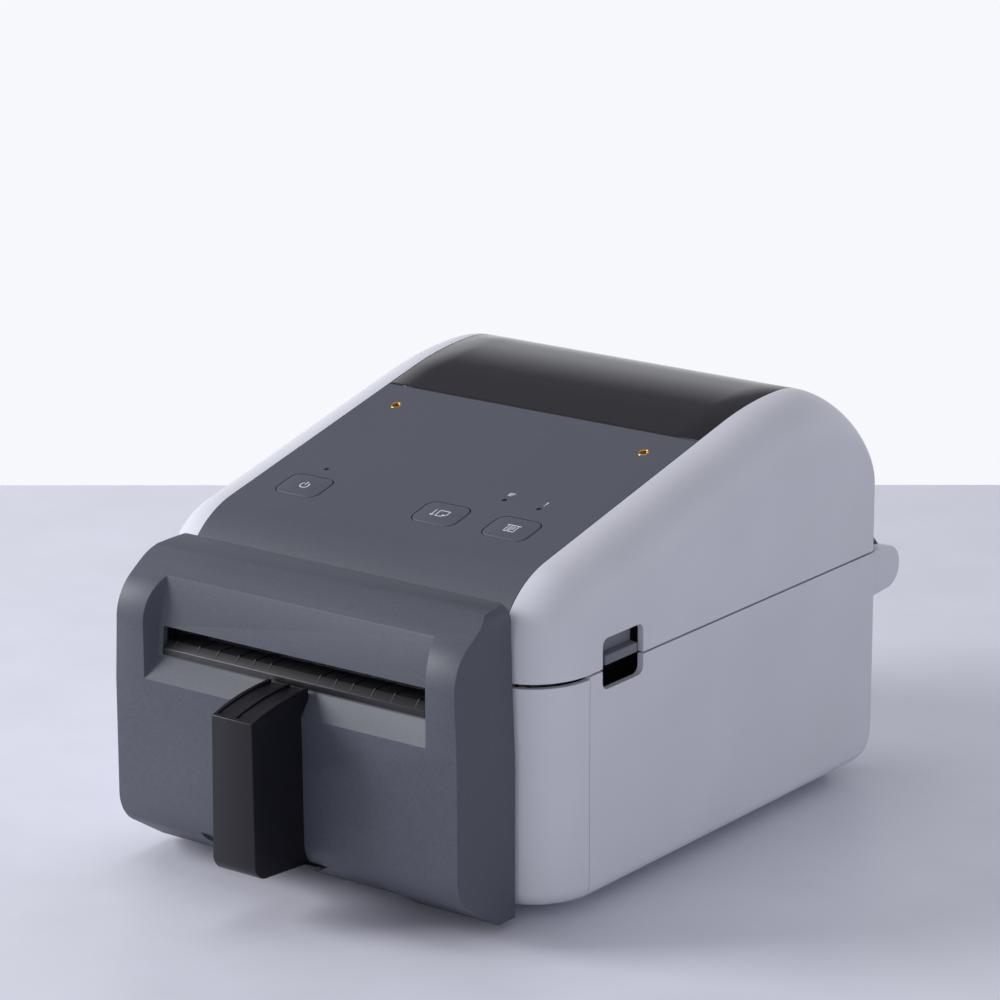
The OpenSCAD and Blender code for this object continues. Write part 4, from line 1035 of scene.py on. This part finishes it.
class LABELPRINTER_OT_exit_guide(bpy.types.Operator):
    """Build the ribbed guide in the label slot."""

    bl_idname = "label_printer.exit_guide"
    bl_label = "Exit guide"

    def execute(self, context):
        low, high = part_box("exit_guide")
        d0 = (REAR_Y - high.y) / MM
        d1 = (REAR_Y - low.y) / MM
        z0 = low.z / MM
        body = slab_x("guide", [(d0, z0), (d1, z0), (d1, z0 + 2.4), (d1 - 2.9, z0 + 4.9),
                                (d0, z0 + 4.9)], low.x / MM, high.x / MM)
        soften(body, 0.3 * MM, 3, 20)
        ribs = []
        for x in (11, 18.3, 25.7, 34.9, 43.7, 54):
            line = [(d0 + 1, z0 + 1), (d1 - 0.5, z0 + 1), (d1 - 0.2, z0 + 2.6), (d1 - 2.9, z0 + 5.2),
                    (d0 + 1, z0 + 5.2)]
            ribs.append(slab_x("rib", line, x - 0.3, x + 0.3))
            ribs.append(slab_x("rib", line, -x - 0.3, 0.3 - x))
        guide = smooth(join("exit_guide_ribs", body, *ribs))
        finish_piece(guide, "base", "black_plastic", black_plastic(), "exit_guide")
        return {"FINISHED"}


# ---------- support post ----------


POST_HALF = 9.0
POST_TOP = SEAM_Z - 6.3


def post_side():
    """Side outline of the post: its rear follows the cutter's face and chin."""
    top = POST_TOP
    back, low = CUTTER_FRONT, POST_Z
    back_r = CHIN_R + 0.1
    rear_turn = math.degrees(math.asin((CHIN_H - low) / back_r))
    return (arc(POST_FRONT - 6.5, low + 7.9, 6.5, 6.5, -90, 0, 10)
            + [(POST_FRONT, top - 4.4), (POST_FRONT - 5, top - 2.9), (POST_FRONT - 11, top - 1.6),
               (POST_FRONT - 17, top - 0.6), (back + 3, top), (back - 4, top + 0.4),
               (back - 4, top - 3.4), (back + 0.1, RECESS_LOW + 0.3)]
            + arc(back - CHIN_R, CHIN_H, back_r, back_r, 0, -rear_turn, 6))


class LABELPRINTER_OT_post(bpy.types.Operator):
    """Build the black support post with its ribbed top."""

    bl_idname = "label_printer.post"
    bl_label = "Support post"

    def execute(self, context):
        half, top = POST_HALF, POST_TOP
        post = slab_x("post", post_side(), -14, 14)
        right = [(half + 0.6, POST_Z - 1), (half - 0.2, SEAM_Z)]
        front = slab_d("cut", right + [(-x, z) for x, z in reversed(right)], CUTTER_FRONT - 6,
                       POST_FRONT + 2)
        combine(post, front, how="INTERSECT")
        soften_where(post, 2.2 * MM, lambda p: p.y < REAR_Y / MM - POST_FRONT + 7 and p.z < 78, 6, 50)
        soften_where(post, 0.4 * MM, lambda p: p.z < 30, 2, 50)
        grooves = []
        for x0, x1 in ((-half + 1.5, -0.9), (0.9, half - 1.5)):
            line = [(POST_FRONT - 1.4, top - 4.9), (POST_FRONT - 5, top - 3.7),
                    (POST_FRONT - 11, top - 2.4), (POST_FRONT - 17, top - 1.4),
                    (CUTTER_FRONT + 3, top - 0.8), (CUTTER_FRONT - 6, top - 0.4),
                    (CUTTER_FRONT - 6, top + 5), (POST_FRONT - 1.4, top + 5)]
            grooves.append(slab_x("cut", line, x0, x1))
        combine(post, *grooves)
        soften_where(post, 0.25 * MM, lambda p: p.z > top - 5.2, 2, 40)
        smooth(post, 30)
        post.name = "post_skin"
        finish_piece(post, "base", "gloss_black", post_plastic(), "post_housing", "post_cap")
        bracket = slab_z("bracket", rounded(0, CUTTER_FRONT - 6.4, 2 * BRACKET_HALF, 11, 2),
                         BRACKET_LOW, BRACKET_TOP)
        tongue = box_outline(-6.5, 6.5, POST_Z - 0.3, POST_Z + 1.3)
        upright = slab_d("upright", box_outline(-6.5, 6.5, POST_Z, POST_Z + 14),
                         CUTTER_FRONT + 0.3, CUTTER_FRONT + 2.2)
        combine(upright, slab_d("tongue", tongue, CUTTER_FRONT - 10, CUTTER_FRONT + 2.2), how="UNION")
        soften(bracket, 0.4 * MM, 2, 40)
        bracket = smooth(join("post_bracket_plate", bracket, upright))
        finish_piece(bracket, "base", "gloss_black", black_plastic(), "post_bracket")
        return {"FINISHED"}


# ---------- latch ----------


class LABELPRINTER_OT_latch(bpy.types.Operator):
    """Build the two latch tabs."""

    bl_idname = "label_printer.latch"
    bl_label = "Latch tabs"

    def execute(self, context):
        d0, d1 = BODY_D - 53.4, BODY_D - 32.3
        z0 = SEAM_Z + 0.9
        plate = slab_x("plate", box_outline(d0, d1, z0, SEAM_Z + 10.4), 84.7, 86.2)
        lip = slab_x("lip", box_outline(d0, d1 - 1.6, z0, z0 + 4.1), 86.0, 89.4)
        for v in lip.data.vertices:
            if v.co.x > 0.089 and v.co.z > (z0 + 3) * MM:
                v.co.z -= 0.6 * MM
        soften(plate, 0.3 * MM, 2, 40)
        soften(lip, 0.5 * MM, 3, 40)
        arm = slab_x("arm", [(BODY_D - 36, 106), (BODY_D - 26, 106), (BODY_D - 30, z0), (d0, z0),
                             (d0, z0 + 7), (BODY_D - 39, z0 + 9)], 80.1, 84.8)
        hub = slab_x("hub", arc(BODY_D - 31, 106, 5, 5, 0, 345, 23), 80.1, 84.8)
        right = smooth(join("latch_tab_right_grip", plate, lip, arm, hub))
        left = twin("latch_tab_left_grip", right)
        finish_piece(right, "latch", "dark_plastic", latch_plastic(), "latch_tab_right")
        finish_piece(left, "latch", "dark_plastic", latch_plastic(), "latch_tab_left")
        return {"FINISHED"}


def latch_plastic():
    return grained("Grey latch plastic", (0.15, 0.16, 0.19), 0.5, speckle=0.15, bump=0.3)


# ---------- carried-over pieces ----------


class LABELPRINTER_OT_inner_parts(bpy.types.Operator):
    """Give every carried-over piece its material."""

    bl_idname = "label_printer.inner_parts"
    bl_label = "Inner parts"

    def execute(self, context):
        finishes = {
            "pale_plastic": case_plastic, "dark_plastic": panel_plastic,
            "black_plastic": black_plastic, "gloss_black": post_plastic,
            "smoked_window": smoked_plastic, "gear_plastic": gear_plastic,
            "steel": brushed_steel, "aluminium": cast_aluminium, "brass": brass,
            "board": circuit_board, "rubber": platen_rubber,
        }
        slots = {s["node"]: s["material_slot"] for s in frame["record"]["subparts"]}
        for node, obj in NODES.items():
            material = finishes[slots[node]]()
            if not obj.material_slots:
                obj.data.materials.append(material)
            for entry in obj.material_slots:
                entry.material = material
        return {"FINISHED"}


# ---------- stage ----------


def area_light(name, place_at, aim, size, power, colour=(1, 1, 1)):
    """A soft rectangular light aimed at a point."""
    light = bpy.data.lights.new(name, "AREA")
    light.shape = "RECTANGLE"
    light.size, light.size_y = size
    light.energy = power
    light.color = colour
    obj = bpy.data.objects.new(name, light)
    bpy.context.scene.collection.objects.link(obj)
    obj.location = place_at
    obj.rotation_euler = (Vector(aim) - Vector(place_at)).to_track_quat("-Z", "Y").to_euler()
    return obj


def studio_world():
    """A room that is bright round the horizon and dim overhead."""
    world = bpy.data.worlds.new("Studio")
    world.use_nodes = True
    nodes, links = world.node_tree.nodes, world.node_tree.links
    sky = nodes["Background"]
    coords = nodes.new("ShaderNodeTexCoord")
    split = nodes.new("ShaderNodeSeparateXYZ")
    links.new(coords.outputs["Generated"], split.inputs["Vector"])
    ramp = nodes.new("ShaderNodeValToRGB")
    low, high = ramp.color_ramp.elements
    low.position, low.color = 0.31, (0.93, 0.94, 0.98, 1)
    high.position, high.color = 0.5, (0.25, 0.25, 0.275, 1)
    links.new(split.outputs["Z"], ramp.inputs["Fac"])
    links.new(ramp.outputs["Color"], sky.inputs["Color"])
    sky.inputs["Strength"].default_value = 1.0
    return world


class LABELPRINTER_OT_stage(bpy.types.Operator):
    """Set up the table, the lights and the camera."""

    bl_idname = "label_printer.stage"
    bl_label = "Stage"

    def execute(self, context):
        clear_selection()
        bpy.ops.mesh.primitive_plane_add(size=1)
        floor = bpy.context.object
        floor.name = "table"
        turn = Matrix.Rotation(math.radians(36.6), 4, "Z")
        for v, (x, y) in zip(floor.data.vertices, ((-3, -3), (3, -3), (-3, 0.452), (3, 0.438))):
            v.co = turn @ Vector((x, y, 0))
        floor.data.materials.append(
            grained("Table top", colours().floor, 0.42, scale=300, speckle=0.02, bump=0.02))
        area_light("Key", (-1.6, -1.15, 1.05), (0, 0, 0.05), (0.9, 0.9), 34, (1.0, 0.99, 1.0))
        area_light("Top", (-0.3, 0.1, 1.6), (0, 0, 0.05), (0.8, 0.8), 4, (0.96, 0.97, 1.0))
        context.scene.view_settings.view_transform = "Standard"
        context.scene.world = studio_world()
        camera = bpy.data.cameras.new("Camera")
        camera.lens = 153.64
        camera.sensor_width = 36
        view = bpy.data.objects.new("Camera", camera)
        context.scene.collection.objects.link(view)
        view.location = (0.89707, -1.19777, 0.55187)
        view.rotation_euler = (math.radians(73.932), math.radians(0.064), math.radians(36.596))
        context.scene.camera = view
        return {"FINISHED"}


# ---------- panel and running ----------


class LABELPRINTER_PT_tools(bpy.types.Panel):
    """Lists the steps that build the printer."""

    bl_idname = "LABELPRINTER_PT_tools"
    bl_label = "Label Printer"
    bl_space_type = "VIEW_3D"
    bl_region_type = "UI"
    bl_category = "Label Printer"

    def draw(self, context):
        layout = self.layout
        for group in (sizes(), colours()):
            for name in group.bl_rna.properties.keys():
                if name not in ("rna_type", "name"):
                    layout.prop(group, name)
        for step in STEPS:
            layout.operator(step.bl_idname)


STEPS = (
    LABELPRINTER_OT_stage, LABELPRINTER_OT_cover, LABELPRINTER_OT_panel, LABELPRINTER_OT_window,
    LABELPRINTER_OT_buttons, LABELPRINTER_OT_panel_fittings, LABELPRINTER_OT_case,
    LABELPRINTER_OT_bezel, LABELPRINTER_OT_feet, LABELPRINTER_OT_cutter,
    LABELPRINTER_OT_exit_guide, LABELPRINTER_OT_post, LABELPRINTER_OT_latch,
    LABELPRINTER_OT_inner_parts,
)
CLASSES = (LabelPrinterSizes, LabelPrinterColours, *STEPS, LABELPRINTER_PT_tools)


def register():
    for cls in CLASSES:
        bpy.utils.register_class(cls)
    bpy.types.Scene.label_printer_sizes = bpy.props.PointerProperty(type=LabelPrinterSizes)
    bpy.types.Scene.label_printer_colours = bpy.props.PointerProperty(type=LabelPrinterColours)


def unregister():
    del bpy.types.Scene.label_printer_colours
    del bpy.types.Scene.label_printer_sizes
    for cls in reversed(CLASSES):
        bpy.utils.unregister_class(cls)


def main():
    register()
    for step in STEPS:
        group, name = step.bl_idname.split(".")
        getattr(getattr(bpy.ops, group), name)()


if __name__ == "__main__":
    main()
